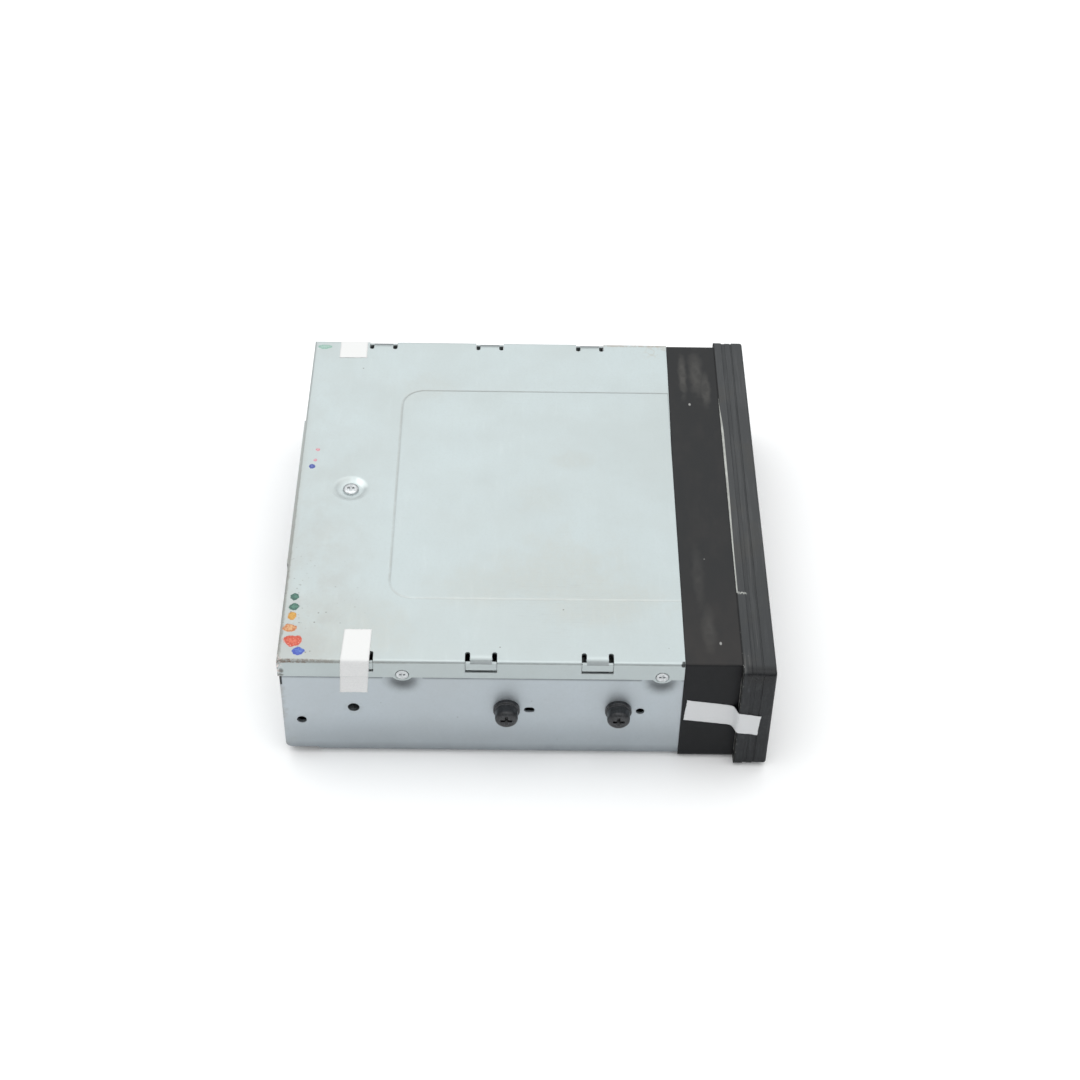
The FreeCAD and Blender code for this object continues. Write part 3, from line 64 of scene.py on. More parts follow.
# ---------------------------------------------------------------- materials
class Mat:
    """A node material. Its patterns are laid out in millimetres, with y = 0 at the cover's rear edge."""

    def __init__(self, name, **values):
        self.mat = bpy.data.materials.new(name)
        self.mat.use_nodes = True
        self.tree = self.mat.node_tree
        self.tree.nodes.clear()
        out = self.node("ShaderNodeOutputMaterial")
        self.bsdf = self.node("ShaderNodeBsdfPrincipled")
        self.tree.links.new(self.bsdf.outputs[0], out.inputs["Surface"])
        coord = self.node("ShaderNodeTexCoord")
        mm = self.node("ShaderNodeVectorMath", operation="MULTIPLY_ADD")
        self.tree.links.new(coord.outputs["Object"], mm.inputs[0])
        mm.inputs[1].default_value = (1000, 1000, 1000)
        mm.inputs[2].default_value = (0, -Y0, 0)
        self.p = mm.outputs[0]
        sep = self.node("ShaderNodeSeparateXYZ")
        self.tree.links.new(self.p, sep.inputs[0])
        self.x, self.y, self.z = sep.outputs
        for key, value in values.items():
            self.bsdf.inputs[key.replace("_", " ")].default_value = value

    def node(self, kind, **props):
        n = self.tree.nodes.new(kind)
        for key, value in props.items():
            setattr(n, key, value)
        return n

    def put(self, socket, value):
        if isinstance(value, bpy.types.NodeSocket):
            self.tree.links.new(value, socket)
        elif value is not None:
            socket.default_value = value

    def m(self, op, a, b=None, c=None, clamp=False):
        n = self.node("ShaderNodeMath", operation=op, use_clamp=clamp)
        for socket, value in zip(n.inputs, (a, b, c)):
            self.put(socket, value)
        return n.outputs[0]

    def ramp(self, v, a, b, lo=0.0, hi=1.0, smooth=True):
        n = self.node("ShaderNodeMapRange", interpolation_type="SMOOTHSTEP" if smooth else "LINEAR", clamp=True)
        for key, value in (("Value", v), ("From Min", a), ("From Max", b), ("To Min", lo), ("To Max", hi)):
            self.put(n.inputs[key], value)
        return n.outputs[0]

    def times(self, *masks):
        out = masks[0]
        for k in masks[1:]:
            out = self.m("MULTIPLY", out, k)
        return out

    def most(self, *masks):
        out = masks[0]
        for k in masks[1:]:
            out = self.m("MAXIMUM", out, k)
        return out

    def band(self, v, a, b, soft=0.3):
        return self.times(self.ramp(v, a - soft, a + soft), self.ramp(v, b + soft, b - soft))

    def vec(self, op, a, b):
        n = self.node("ShaderNodeVectorMath", operation=op)
        self.put(n.inputs[0], a)
        self.put(n.inputs[1], b)
        return n.outputs[1] if op == "LENGTH" else n.outputs[0]

    def noise(self, scale, detail=3.0, rough=0.55, stretch=(1, 1, 1), shift=0.0, distort=0.0, p=None):
        n = self.node("ShaderNodeVectorMath", operation="MULTIPLY_ADD")
        self.put(n.inputs[0], p or self.p)
        n.inputs[1].default_value = [scale * s for s in stretch]
        n.inputs[2].default_value = (shift, shift * 1.7 + 3.1, shift * 0.6 - 5.3)
        t = self.node("ShaderNodeTexNoise")
        self.put(t.inputs["Vector"], n.outputs[0])
        for key, value in (("Scale", 1.0), ("Detail", detail), ("Roughness", rough), ("Distortion", distort)):
            t.inputs[key].default_value = value
        return t.outputs[0]

    def dots(self, cell, keep, radius, shift=0.0, stretch=(1, 1, 1)):
        """Scattered specks: one per cell at most, and only in the kept share of the cells."""
        n = self.node("ShaderNodeVectorMath", operation="MULTIPLY_ADD")
        self.put(n.inputs[0], self.p)
        n.inputs[1].default_value = [s / cell for s in stretch]
        n.inputs[2].default_value = (shift, shift * 2.3, shift * 0.7)
        t = self.node("ShaderNodeTexVoronoi")
        self.put(t.inputs["Vector"], n.outputs[0])
        t.inputs["Scale"].default_value = 1.0
        sep = self.node("ShaderNodeSeparateColor")
        self.put(sep.inputs[0], t.outputs["Color"])
        near = self.ramp(t.outputs["Distance"], radius / cell * 1.25, radius / cell * 0.75)
        return self.times(near, self.m("GREATER_THAN", sep.outputs[0], 1.0 - keep))

    def blob(self, cx, cy, rx, ry, edge=None, wob=0.5, soft=0.12, cz=None, rz=None):
        """1 inside an ellipse in x and y (or in y and z when cz is given) whose outline follows the noise in edge."""
        if cz is None:
            c, k = (cx, cy, 0), (1 / rx, 1 / ry, 0)
        else:
            c, k = (0, cy, cz), (0, 1 / ry, 1 / rz)
        d = self.vec("LENGTH", self.vec("MULTIPLY", self.vec("SUBTRACT", self.p, c), k), None)
        if edge is not None:
            d = self.m("ADD", d, self.m("MULTIPLY", self.m("SUBTRACT", edge, 0.5), wob))
        return self.ramp(d, 1 + soft, 1 - soft)

    def mix(self, fac, a, b, mode="MIX"):
        n = self.node("ShaderNodeMix", data_type="RGBA", blend_type=mode)
        self.put(n.inputs[0], fac)
        for i, value in ((6, a), (7, b)):
            self.put(n.inputs[i], (*value, 1.0) if isinstance(value, tuple) and len(value) == 3 else value)
        return n.outputs[2]

    def edge(self, radius=0.2, lo=0.985, hi=0.85):
        """(rounded normal, mask of the rounded edges)."""
        b = self.node("ShaderNodeBevel", samples=4)
        b.inputs["Radius"].default_value = radius / 1000
        g = self.node("ShaderNodeNewGeometry")
        n = self.node("ShaderNodeVectorMath", operation="DOT_PRODUCT")
        self.put(n.inputs[0], b.outputs[0])
        self.put(n.inputs[1], g.outputs["Normal"])
        return b.outputs[0], self.ramp(n.outputs["Value"], lo, hi)

    def bump(self, height, mm, normal=None, strength=1.0):
        n = self.node("ShaderNodeBump")
        n.inputs["Strength"].default_value = strength
        n.inputs["Distance"].default_value = mm / 1000
        self.put(n.inputs["Height"], height)
        if normal is not None:
            self.put(n.inputs["Normal"], normal)
        return n.outputs[0]

    def done(self, color=None, rough=None, normal=None, metal=None):
        if isinstance(color, tuple):
            color = (*color, 1.0)
        self.put(self.bsdf.inputs["Base Color"], color)
        self.put(self.bsdf.inputs["Roughness"], rough)
        self.put(self.bsdf.inputs["Metallic"], metal)
        if normal is not None:
            self.put(self.bsdf.inputs["Normal"], normal)
        return self.mat


def tint(c, k, warm=0.0):
    return (c[0] * k * (1 + warm), c[1] * k, c[2] * k * (1 - warm))


ZINC = (0.562, 0.622, 0.622)
# the chassis zinc is darker than the cover's: painted shade of its side walls
ZINC_LOW = (0.462, 0.505, 0.533)
# share of painted shade on the cover's folded sides
FLANGE_SHADE = 0.38
HOOKS = (-28.0, -71.2, -111.9)
SIDE_SCREWS = (-43.6, -134.7)


def zinc_base(name, base, metal=0.75, rough=0.46):
    """Passivated zinc on sheet steel: soft cloudy mottling, a fine grain and small handling marks."""
    s = Mat(name, Metallic=metal)
    cloud = s.noise(0.022, 4, 0.6, shift=2.0)
    fine = s.noise(0.9, 3, 0.6, shift=7.0)
    grain = s.noise(6.0, 2, 0.5, shift=1.0)
    col = s.mix(s.ramp(cloud, 0.3, 0.7), tint(base, 0.955, 0.006), tint(base, 1.04, -0.008))
    col = s.mix(s.ramp(fine, 0.42, 0.75, 0.0, 0.3), col, tint(base, 0.92, 0.012))
    rub = s.noise(0.25, 5, 0.65, stretch=(0.25, 1.6, 1.6), shift=11.0)
    col = s.mix(s.ramp(rub, 0.63, 0.78, 0.0, 0.35), col, tint(base, 1.08))
    r = s.m("ADD", s.ramp(cloud, 0.2, 0.8, rough - 0.05, rough + 0.05, False), s.ramp(rub, 0.5, 0.8, 0.0, -0.08))
    height = s.m("ADD", s.m("MULTIPLY", fine, 0.7), s.m("MULTIPLY", grain, 0.3))
    return s, col, r, height, cloud, fine


def cover_material():
    s, col, r, height, cloud, fine = zinc_base("zinc_cover", ZINC)
    top = s.ramp(s.z, 49.3, 49.7)
    wob = s.noise(0.55, 3, 0.6, shift=4.0)
    coarse = s.noise(0.09, 5, 0.65, shift=9.0)
    # outline of the embossed field, a faint line of dirt
    q = s.vec("SUBTRACT", s.vec("ABSOLUTE", s.vec("ADD", s.p, (0, 100.0, 0)), None), (58.0 - 9.0, 62.7 - 9.0, 0))
    qx = s.node("ShaderNodeSeparateXYZ")
    s.put(qx.inputs[0], q)
    outside = s.vec("LENGTH", s.vec("MULTIPLY", s.vec("MAXIMUM", q, (0, 0, 0)), (1, 1, 0)), None)
    inside = s.m("MINIMUM", s.m("MAXIMUM", qx.outputs[0], qx.outputs[1]), 0.0)
    sd = s.m("SUBTRACT", s.m("ADD", outside, inside), 9.0)
    line = s.ramp(s.m("ABSOLUTE", sd), 0.75, 0.1)
    line = s.times(line, s.ramp(coarse, 0.3, 0.62, 0.08, 0.42), top)
    col = s.mix(line, col, (0.36, 0.36, 0.335))
    # painted shade: the top is darker towards the near side
    col = s.mix(s.times(top, s.ramp(s.x, 70.0, -89.0, 0.0, 0.26, False)), col, (0.30, 0.33, 0.33))
    # painted shade: the folded sides are darker than the top
    col = s.mix(s.ramp(s.z, 49.3, 48.5, 0.0, FLANGE_SHADE), col, (0.30, 0.33, 0.335))
    # painted shade along the folds, with a darker painted line in the fold itself as a painted dark reflection; the
    # bent strips at the hooks are painted dark as shade, and the hook plates carry a painted shade line at their fold
    far_x = s.m("ABSOLUTE", s.x)
    at_hook = [s.m("ABSOLUTE", s.m("SUBTRACT", s.y, y)) for y in HOOKS]
    plates = s.times(s.most(*[s.ramp(d, 5.6, 5.3) for d in at_hook]), s.ramp(far_x, 86.0, 86.3))
    strips = s.times(s.most(*[s.ramp(d, 4.0, 3.7) for d in at_hook]), s.ramp(far_x, 86.3, 88.1), s.ramp(s.z, 48.7, 48.9))
    free = s.times(s.m("SUBTRACT", 1.0, plates), s.most(s.ramp(far_x, 86.6, 87.4), s.ramp(s.y, -2.4, -1.6)))
    col = s.mix(s.times(s.ramp(s.z, 49.97, 49.5), s.ramp(s.z, 48.8, 49.2), free, 0.30), col, (0.30, 0.325, 0.325))
    col = s.mix(s.times(s.band(s.z, 48.95, 49.5, 0.25), free, s.ramp(coarse, 0.3, 0.6, 0.3, 0.55)), col, (0.20, 0.215, 0.21))
    col = s.mix(s.times(strips, 0.70), col, (0.13, 0.14, 0.145))
    col = s.mix(s.times(plates, s.band(s.z, 48.9, 49.3, 0.1), s.ramp(far_x, 87.7, 87.8), 0.35), col, (0.25, 0.27, 0.275))
    # painted light and shade in the top screw's dish: the near wall is painted lighter, the far front wall carries a
    # painted highlight and the far rear wall painted shade
    ring = s.times(s.blob(0, -20.20, 6.3, 6.3, soft=0.12), s.m("SUBTRACT", 1.0, s.blob(0, -20.20, 4.0, 4.0, soft=0.15)))
    col = s.mix(s.times(ring, s.ramp(s.x, 1.0, -3.5), 0.45), col, (0.84, 0.90, 0.89))
    col = s.mix(s.times(ring, s.ramp(s.x, -0.5, 2.5), s.ramp(s.y, -21.20, -23.20), 0.6), col, (0.90, 0.96, 0.95))
    col = s.mix(s.times(ring, s.ramp(s.x, -0.5, 2.5), s.ramp(s.y, -20.70, -18.70), 0.35), col, (0.36, 0.38, 0.37))
    # old brownish stains in the near half and by the far edge
    stain = s.most(
        s.times(s.blob(-45, -100, 18, 20, coarse, 2.6, 0.5), 0.75),
        s.times(s.blob(-58, -112, 12, 22, coarse, 2.6, 0.5), 0.7),
        s.times(s.blob(-52, -70, 9, 16, coarse, 2.4, 0.5), 0.55),
        s.times(s.blob(18, -104, 5, 7, coarse, 2.4, 0.5), 0.55),
        s.times(s.blob(-5, -92, 8, 9, coarse, 2.6, 0.5), 0.4),
        s.times(s.blob(60, -46, 7, 14, coarse, 2.8, 0.5), 0.4),
        s.times(s.blob(-74, -20, 16, 22, coarse, 2.4, 0.5), 0.7),
    )
    col = s.mix(s.times(stain, top, s.ramp(wob, 0.3, 0.7, 0.25, 0.5)), col, (0.53, 0.535, 0.49))
    # smears of thin grey film along the rear and towards the near corner
    film = s.times(s.ramp(s.y, -46, -2), s.ramp(s.x, 40, -80, 0.2, 1.0), s.ramp(coarse, 0.38, 0.68))
    film = s.most(film, s.times(s.blob(-86, -4, 12, 16, coarse, 1.6, 0.6), 0.9), s.times(s.ramp(s.y, -3.4, -0.9), s.ramp(s.x, 70, -60, 0.2, 0.8)))
    col = s.mix(s.times(film, top, 0.55), col, (0.44, 0.44, 0.415))
    # fine scratches in the near front quarter
    hair = s.noise(0.35, 2, 0.5, stretch=(9.0, 0.16, 1), shift=21.0)
    hair = s.times(s.band(hair, 0.565, 0.580, 0.006), s.blob(-62, -100, 16, 26, coarse, 1.6, 0.6), top)
    col = s.mix(s.times(hair, 0.55), col, (0.40, 0.42, 0.42))
    # dirt along the rear edge, thicker towards the near corner, and along the near fold up to the tape
    depth = s.ramp(s.x, 60, -86, 0.45, 1.25, False)
    crust = s.m("ADD", s.m("DIVIDE", s.m("ADD", s.y, 0.25), depth), s.m("MULTIPLY", s.m("SUBTRACT", wob, 0.5), 1.3))
    crust = s.times(s.ramp(crust, -1.05, -0.35), s.ramp(coarse, 0.30, 0.55, 0.55, 1.0), s.ramp(s.x, 88.6, -60, 0.35, 1.0))
    near = s.m("ADD", s.m("DIVIDE", s.m("ADD", s.x, 89.0), s.ramp(s.y, -50, 0, 0.45, 1.15)), s.m("MULTIPLY", s.m("SUBTRACT", wob, 0.5), 1.0))
    near = s.times(s.ramp(near, 1.0, 0.4), s.ramp(s.y, -60, -18, 0.0, 1.0), s.band(s.z, 48.7, 50.1, 0.25))
    dirt = s.most(s.times(crust, s.ramp(s.z, 47.6, 48.6)), s.times(near, s.ramp(wob, 0.35, 0.6, 0.35, 1.0)))
    col = s.mix(s.times(dirt, 0.62), col, (0.23, 0.225, 0.20))
    brown = s.times(near, s.ramp(s.y, -26, -4), s.ramp(s.noise(0.7, 4, 0.65, shift=37.0), 0.46, 0.60), 0.75)
    col = s.mix(brown, col, (0.195, 0.155, 0.125))
    rusty = s.times(s.most(crust, near), s.ramp(s.noise(0.9, 4, 0.7, shift=31.0), 0.53, 0.66), s.ramp(s.x, -72, -87), s.ramp(s.y, -24, -2))
    col = s.mix(s.times(rusty, 0.8), col, (0.16, 0.075, 0.05))
    # rust and pale corrosion at the near rear corner
    corner = s.most(s.times(s.ramp(s.x, -86.4, -88.3), s.ramp(s.y, -2.6, -0.3)), s.times(s.ramp(s.x, -84.0, -87.0), s.ramp(s.y, -0.9, -0.3)))
    white = s.ramp(s.noise(1.5, 4, 0.7, shift=41.0), 0.50, 0.58)
    col = s.mix(s.times(corner, white, 0.85), col, (0.80, 0.68, 0.65))
    col = s.mix(s.times(corner, s.ramp(s.noise(1.6, 3, 0.7, shift=47.0), 0.57, 0.64), 0.9), col, (0.06, 0.03, 0.025))
    spot = s.most(s.blob(0, -1.5, 1, 0.75, wob, 1.3, 0.5, cz=44.6, rz=0.95), s.times(s.blob(0, -1.1, 1, 1.3, wob, 1.0, 0.3, cz=42.6, rz=0.6), 0.8))
    col = s.mix(s.times(spot, s.ramp(s.x, -88.0, -88.9), 0.75), col, (0.085, 0.08, 0.07))
    # brown line on the far edge near the front, and the creased tongue
    far = s.times(s.ramp(s.x, 86.6, 88.2), s.band(s.y, -141.5, -112, 3.0), s.ramp(wob, 0.35, 0.6), s.ramp(s.z, 49.1, 49.6))
    col = s.mix(s.times(far, 0.65), col, (0.38, 0.29, 0.22))
    tongue = s.times(s.ramp(s.x, 79.0, 83.0), s.ramp(s.y, -131.0, -139.0), s.band(s.noise(0.22, 2, 0.5, shift=51.0), 0.47, 0.53, 0.02))
    col = s.mix(s.times(tongue, 0.5), col, (0.50, 0.47, 0.41))
    # a black round spot at the near front corner
    black = s.times(s.blob(0, -141.9, 1, 0.95, wob, 0.5, 0.2, cz=49.3, rz=0.9), s.ramp(s.x, -87.5, -87.8))
    col = s.mix(s.times(black, 0.9), col, (0.02, 0.02, 0.02))
    # small dark ticks and specks
    specks = s.most(
        s.dots(9.0, 0.16, 0.30, 3.0),
        s.times(s.dots(3.2, 0.75, 0.33, 8.0), s.ramp(s.y, -38, -6), s.ramp(s.x, -20, -75)),
        s.times(s.dots(1.9, 0.75, 0.30, 5.0), s.ramp(s.y, -12, -2), s.ramp(s.x, -10, -80)),
    )
    col = s.mix(s.times(specks, top, 0.72), col, (0.19, 0.185, 0.165))
    pale = s.times(s.dots(7.0, 0.22, 0.34, 14.0), top, s.ramp(s.y, -70, -20))
    col = s.mix(s.times(pale, 0.5), col, (0.76, 0.77, 0.75))
    # inspection dots in paint
    streak = s.noise(1.5, 3, 0.6, shift=61.0)
    paints = [
        (-57.9, -4.0, 1.70, 1.52, (0.016, 0.085, 0.060), (0.060, 0.19, 0.14)),
        (-63.0, -4.15, 1.80, 1.78, (0.018, 0.090, 0.062), (0.075, 0.21, 0.15)),
        (-67.6, -3.75, 1.98, 1.62, (0.50, 0.22, 0.018), (0.66, 0.37, 0.055)),
        (-73.5, -3.35, 1.85, 2.45, (0.50, 0.155, 0.040), (0.66, 0.40, 0.19)),
        (-79.75, -4.85, 2.55, 3.30, (0.54, 0.050, 0.018), (0.68, 0.135, 0.065)),
        (-84.6, -7.35, 1.90, 2.10, (0.026, 0.058, 0.40), (0.085, 0.18, 0.55)),
        (21.7, -6.1, 0.75, 0.85, (0.62, 0.20, 0.25), (0.66, 0.40, 0.42)),
        (15.7, -5.6, 0.80, 0.70, (0.62, 0.22, 0.28), (0.66, 0.42, 0.45)),
        (12.1, -4.6, 1.25, 1.10, (0.03, 0.05, 0.30), (0.10, 0.14, 0.42)),
        (85.0, -4.2, 1.35, 2.80, (0.17, 0.38, 0.29), (0.33, 0.52, 0.44)),
    ]
    painted = None
    for cx, cy, rx, ry, dark, light in paints:
        inside = s.blob(cx, cy, rx, ry, wob, 1.1, 0.10)
        core = s.blob(cx + 0.15, cy - 0.1, rx * 0.62, ry * 0.62, wob, 1.3, 0.35)
        strength = s.times(inside, top, 0.95 if abs(cx) < 84.9 else 0.75)
        tone = s.m("ADD", s.ramp(streak, 0.38, 0.64), s.m("MULTIPLY", core, 0.22), clamp=True)
        rim = s.times(inside, s.m("SUBTRACT", 1.0, core))
        col = s.mix(strength, col, s.mix(s.m("SUBTRACT", tone, s.m("MULTIPLY", rim, 0.45), clamp=True), dark, light))
        painted = strength if painted is None else s.most(painted, strength)
    # the red spot is blotchy: pink flecks and darker orange ones
    red = s.times(s.blob(-79.75, -4.85, 2.4, 3.1, wob, 1.1, 0.15), top)
    col = s.mix(s.times(red, s.ramp(s.noise(1.3, 3, 0.7, shift=67.0), 0.56, 0.66), 0.7), col, (0.80, 0.42, 0.35))
    col = s.mix(s.times(red, s.ramp(s.noise(1.6, 3, 0.7, shift=69.0), 0.56, 0.66), 0.8), col, (0.40, 0.045, 0.012))
    metal = s.ramp(s.most(painted, s.times(dirt, 0.8)), 0.0, 1.0, 0.75, 0.0, False)
    r = s.m("ADD", r, s.m("MULTIPLY", s.most(s.times(dirt, 0.3), s.times(stain, 0.08)), 1.0), clamp=True)
    r = s.m("SUBTRACT", r, s.m("MULTIPLY", painted, 0.12))
    rounded, rim = s.edge(0.25)
    col = s.mix(s.times(rim, s.ramp(wob, 0.35, 0.65, 0.1, 0.45)), col, (0.70, 0.74, 0.74))
    n = s.bump(height, 0.012, rounded)
    n = s.bump(s.m("ADD", painted, s.m("MULTIPLY", dirt, wob)), 0.03, n)
    n = s.bump(s.noise(0.035, 2, 0.5, shift=71.0), 0.25, n)
    return s.done(col, r, n, metal)


def chassis_material():
    s, col, r, height, cloud, fine = zinc_base("zinc_chassis", ZINC_LOW, 0.75, 0.48)
    wob = s.noise(0.55, 3, 0.6, shift=14.0)
    coarse = s.noise(0.08, 5, 0.65, shift=19.0)
    # painted shade: the side is darker towards the bottom
    low = s.most(s.times(s.ramp(s.z, 24.0, 6.0), 0.42), s.ramp(s.z, 10.5, 1.5))
    col = s.mix(s.times(low, s.ramp(coarse, 0.2, 0.7, 0.65, 0.9)), col, (0.22, 0.245, 0.265))
    scuff = s.noise(0.5, 4, 0.7, stretch=(1, 0.12, 2.2), shift=23.0)
    col = s.mix(s.times(s.ramp(scuff, 0.56, 0.70), s.ramp(s.z, 6.0, 2.0), 0.45), col, (0.26, 0.27, 0.275))
    # dirt that washed down at the rear edge
    rear = s.m("ADD", s.m("DIVIDE", s.y, 2.2), s.m("MULTIPLY", s.m("SUBTRACT", wob, 0.5), 2.2))
    rear = s.times(s.ramp(rear, -1.1, 0.1), s.ramp(coarse, 0.35, 0.6))
    col = s.mix(s.times(rear, 0.5), col, (0.30, 0.28, 0.26))
    square = s.times(s.band(s.y, -4.6, -1.7, 0.25), s.band(s.z, 5.6, 8.6, 0.25), s.ramp(wob, 0.3, 0.7, 0.2, 0.6))
    col = s.mix(s.times(square, 0.55), col, (0.34, 0.36, 0.36))
    # painted shade under the cover's flange, weaker beside the screws, and painted shade in the pressed dishes
    beside = s.most(*[s.ramp(s.m("ABSOLUTE", s.m("SUBTRACT", s.y, y)), 7.3, 6.6) for y in SIDE_SCREWS])
    outer = s.ramp(s.m("ABSOLUTE", s.x), 86.0, 86.6)
    under = s.times(s.ramp(s.z, 39.6, 40.9), s.m("SUBTRACT", 1.0, beside), s.ramp(coarse, 0.3, 0.6, 0.75, 1.0))
    col = s.mix(s.times(under, outer, 0.80), col, (0.13, 0.145, 0.155))
    dish = s.most(*[s.blob(0, y, 1, 6.3, wob, 0.25, 0.35, cz=39.9, rz=6.2) for y in SIDE_SCREWS])
    core = s.most(*[s.blob(0, y, 1, 3.9, wob, 0.25, 0.6, cz=38.4, rz=3.2) for y in SIDE_SCREWS])
    col = s.mix(s.times(dish, outer, 0.35), col, (0.15, 0.165, 0.17))
    col = s.mix(s.times(core, outer, 0.65), col, (0.10, 0.11, 0.115))
    # the open seam at the rear edge
    gap = s.times(s.ramp(s.y, -1.35, -1.15), s.band(s.z, 36.6, 41.6, 0.3))
    col = s.mix(s.times(gap, 0.93), col, (0.015, 0.016, 0.017))
    # rub marks round the screw heads and the holes
    rings = None
    for y, z, rr in ((-80.2, 25.0, 5.6), (-120.0, 25.0, 5.6), (-25.8, 24.9, 3.4), (-7.0, 18.1, 2.6), (-127.8, 24.4, 2.4)):
        k = s.blob(0, y, 1, rr, wob, 0.5, 0.16, cz=z, rz=rr)
        rings = k if rings is None else s.most(rings, k)
    rings = s.times(rings, s.ramp(s.m("ABSOLUTE", s.x), 87.9, 88.05))
    col = s.mix(s.times(rings, s.ramp(fine, 0.35, 0.7, 0.1, 0.4)), col, (0.40, 0.43, 0.445))
    specks = s.dots(8.0, 0.22, 0.28, 6.0)
    col = s.mix(s.times(specks, 0.5), col, (0.24, 0.25, 0.25))
    rounded, rim = s.edge(0.2)
    col = s.mix(s.times(rim, s.ramp(wob, 0.35, 0.65, 0.1, 0.5)), col, (0.66, 0.70, 0.71))
    n = s.bump(height, 0.012, rounded)
    n = s.bump(s.noise(0.045, 2, 0.5, shift=29.0), 0.22, n)
    return s.done(col, r, n)


def plain_zinc(name, base):
    s, col, r, height, cloud, fine = zinc_base(name, base, 0.85, 0.40)
    smudge = s.noise(0.12, 5, 0.65, shift=33.0)
    col = s.mix(s.ramp(smudge, 0.55, 0.75, 0.0, 0.35), col, tint(base, 0.78, 0.02))
    rounded, rim = s.edge(0.15)
    col = s.mix(s.times(rim, 0.4), col, tint(base, 1.25))
    return s.done(col, r, s.bump(height, 0.010, rounded))


def plastic_base(name, base, gloss, grain=5.0):
    s = Mat(name, Specular_IOR_Level=gloss)
    cloud = s.noise(0.035, 4, 0.6, shift=5.0)
    tex = s.noise(grain, 2, 0.6, shift=15.0)
    col = s.mix(s.ramp(cloud, 0.3, 0.7), tint(base, 0.8), tint(base, 1.25, 0.01))
    return s, col, cloud, tex


def collar_material():
    s, col, cloud, tex = plastic_base("collar_plastic", (0.0038, 0.0044, 0.0056), 0.20)
    top = s.ramp(s.z, 49.0, 49.6)
    coarse = s.noise(0.07, 5, 0.65, shift=3.0)
    streak = s.noise(0.30, 4, 0.55, stretch=(0.22, 0.7, 1.0), shift=13.0)
    soft = s.noise(0.22, 3, 0.5, shift=17.0)
    # painted light: the top is lighter than the sides
    col = s.mix(top, col, (0.0205, 0.0213, 0.0222))
    dust = s.times(s.ramp(streak, 0.38, 0.72), s.ramp(coarse, 0.30, 0.65, 0.3, 1.0), top)
    col = s.mix(s.times(dust, 0.42), col, (0.040, 0.0375, 0.036))
    brown = s.times(s.ramp(s.x, -30, -84), top, s.ramp(coarse, 0.3, 0.6, 0.4, 1.0))
    col = s.mix(s.times(brown, 0.4), col, (0.037, 0.032, 0.0295))
    # paler rub marks at the far end and by the near corner
    rub = s.most(
        s.times(s.blob(70.0, -148.9, 12.0, 1.4, soft, 1.6, 0.5), 1.0), s.times(s.blob(71.0, -154.4, 12.5, 2.5, soft, 1.8, 0.5), 0.85),
        s.times(s.blob(61.0, -157.7, 9.0, 1.8, soft, 1.6, 0.5), 1.0), s.times(s.blob(-72.0, -151.5, 9.0, 2.2, soft, 1.8, 0.6), 0.6),
        s.times(s.blob(-45.0, -149.0, 14.0, 1.8, soft, 2.0, 0.6), 0.4),
    )
    col = s.mix(s.times(rub, top, s.ramp(soft, 0.3, 0.7, 0.35, 0.75)), col, (0.088, 0.085, 0.080))
    side = s.m("SUBTRACT", 1.0, top)
    col = s.mix(s.times(side, s.ramp(streak, 0.5, 0.72), 0.25), col, (0.0125, 0.0135, 0.0158))
    specks = s.times(s.dots(7.0, 0.16, 0.26, 4.0), 0.6)
    flecks = s.times(s.most(s.blob(51.8, -150.9, 0.75, 0.45, soft, 0.8, 0.3), s.blob(-78.4, -155.3, 0.8, 0.45, soft, 0.8, 0.3)), top)
    col = s.mix(s.most(specks, flecks), col, (0.30, 0.30, 0.29))
    # dark seam against the bezel
    seam = s.ramp(s.y, -162.05, -162.40)
    col = s.mix(s.times(seam, 0.8), col, (0.004, 0.004, 0.0045))
    rounded, rim = s.edge(0.25)
    col = s.mix(s.times(rim, s.ramp(coarse, 0.4, 0.65, 0.05, 0.5)), col, (0.070, 0.072, 0.075))
    r = s.m("ADD", s.ramp(streak, 0.3, 0.7, 0.42, 0.50), s.m("MULTIPLY", s.times(rub, top), 0.12))
    n = s.bump(tex, 0.010, rounded)
    n = s.bump(s.noise(0.05, 2, 0.5, shift=43.0), 0.12, n)
    return s.done(col, r, n)


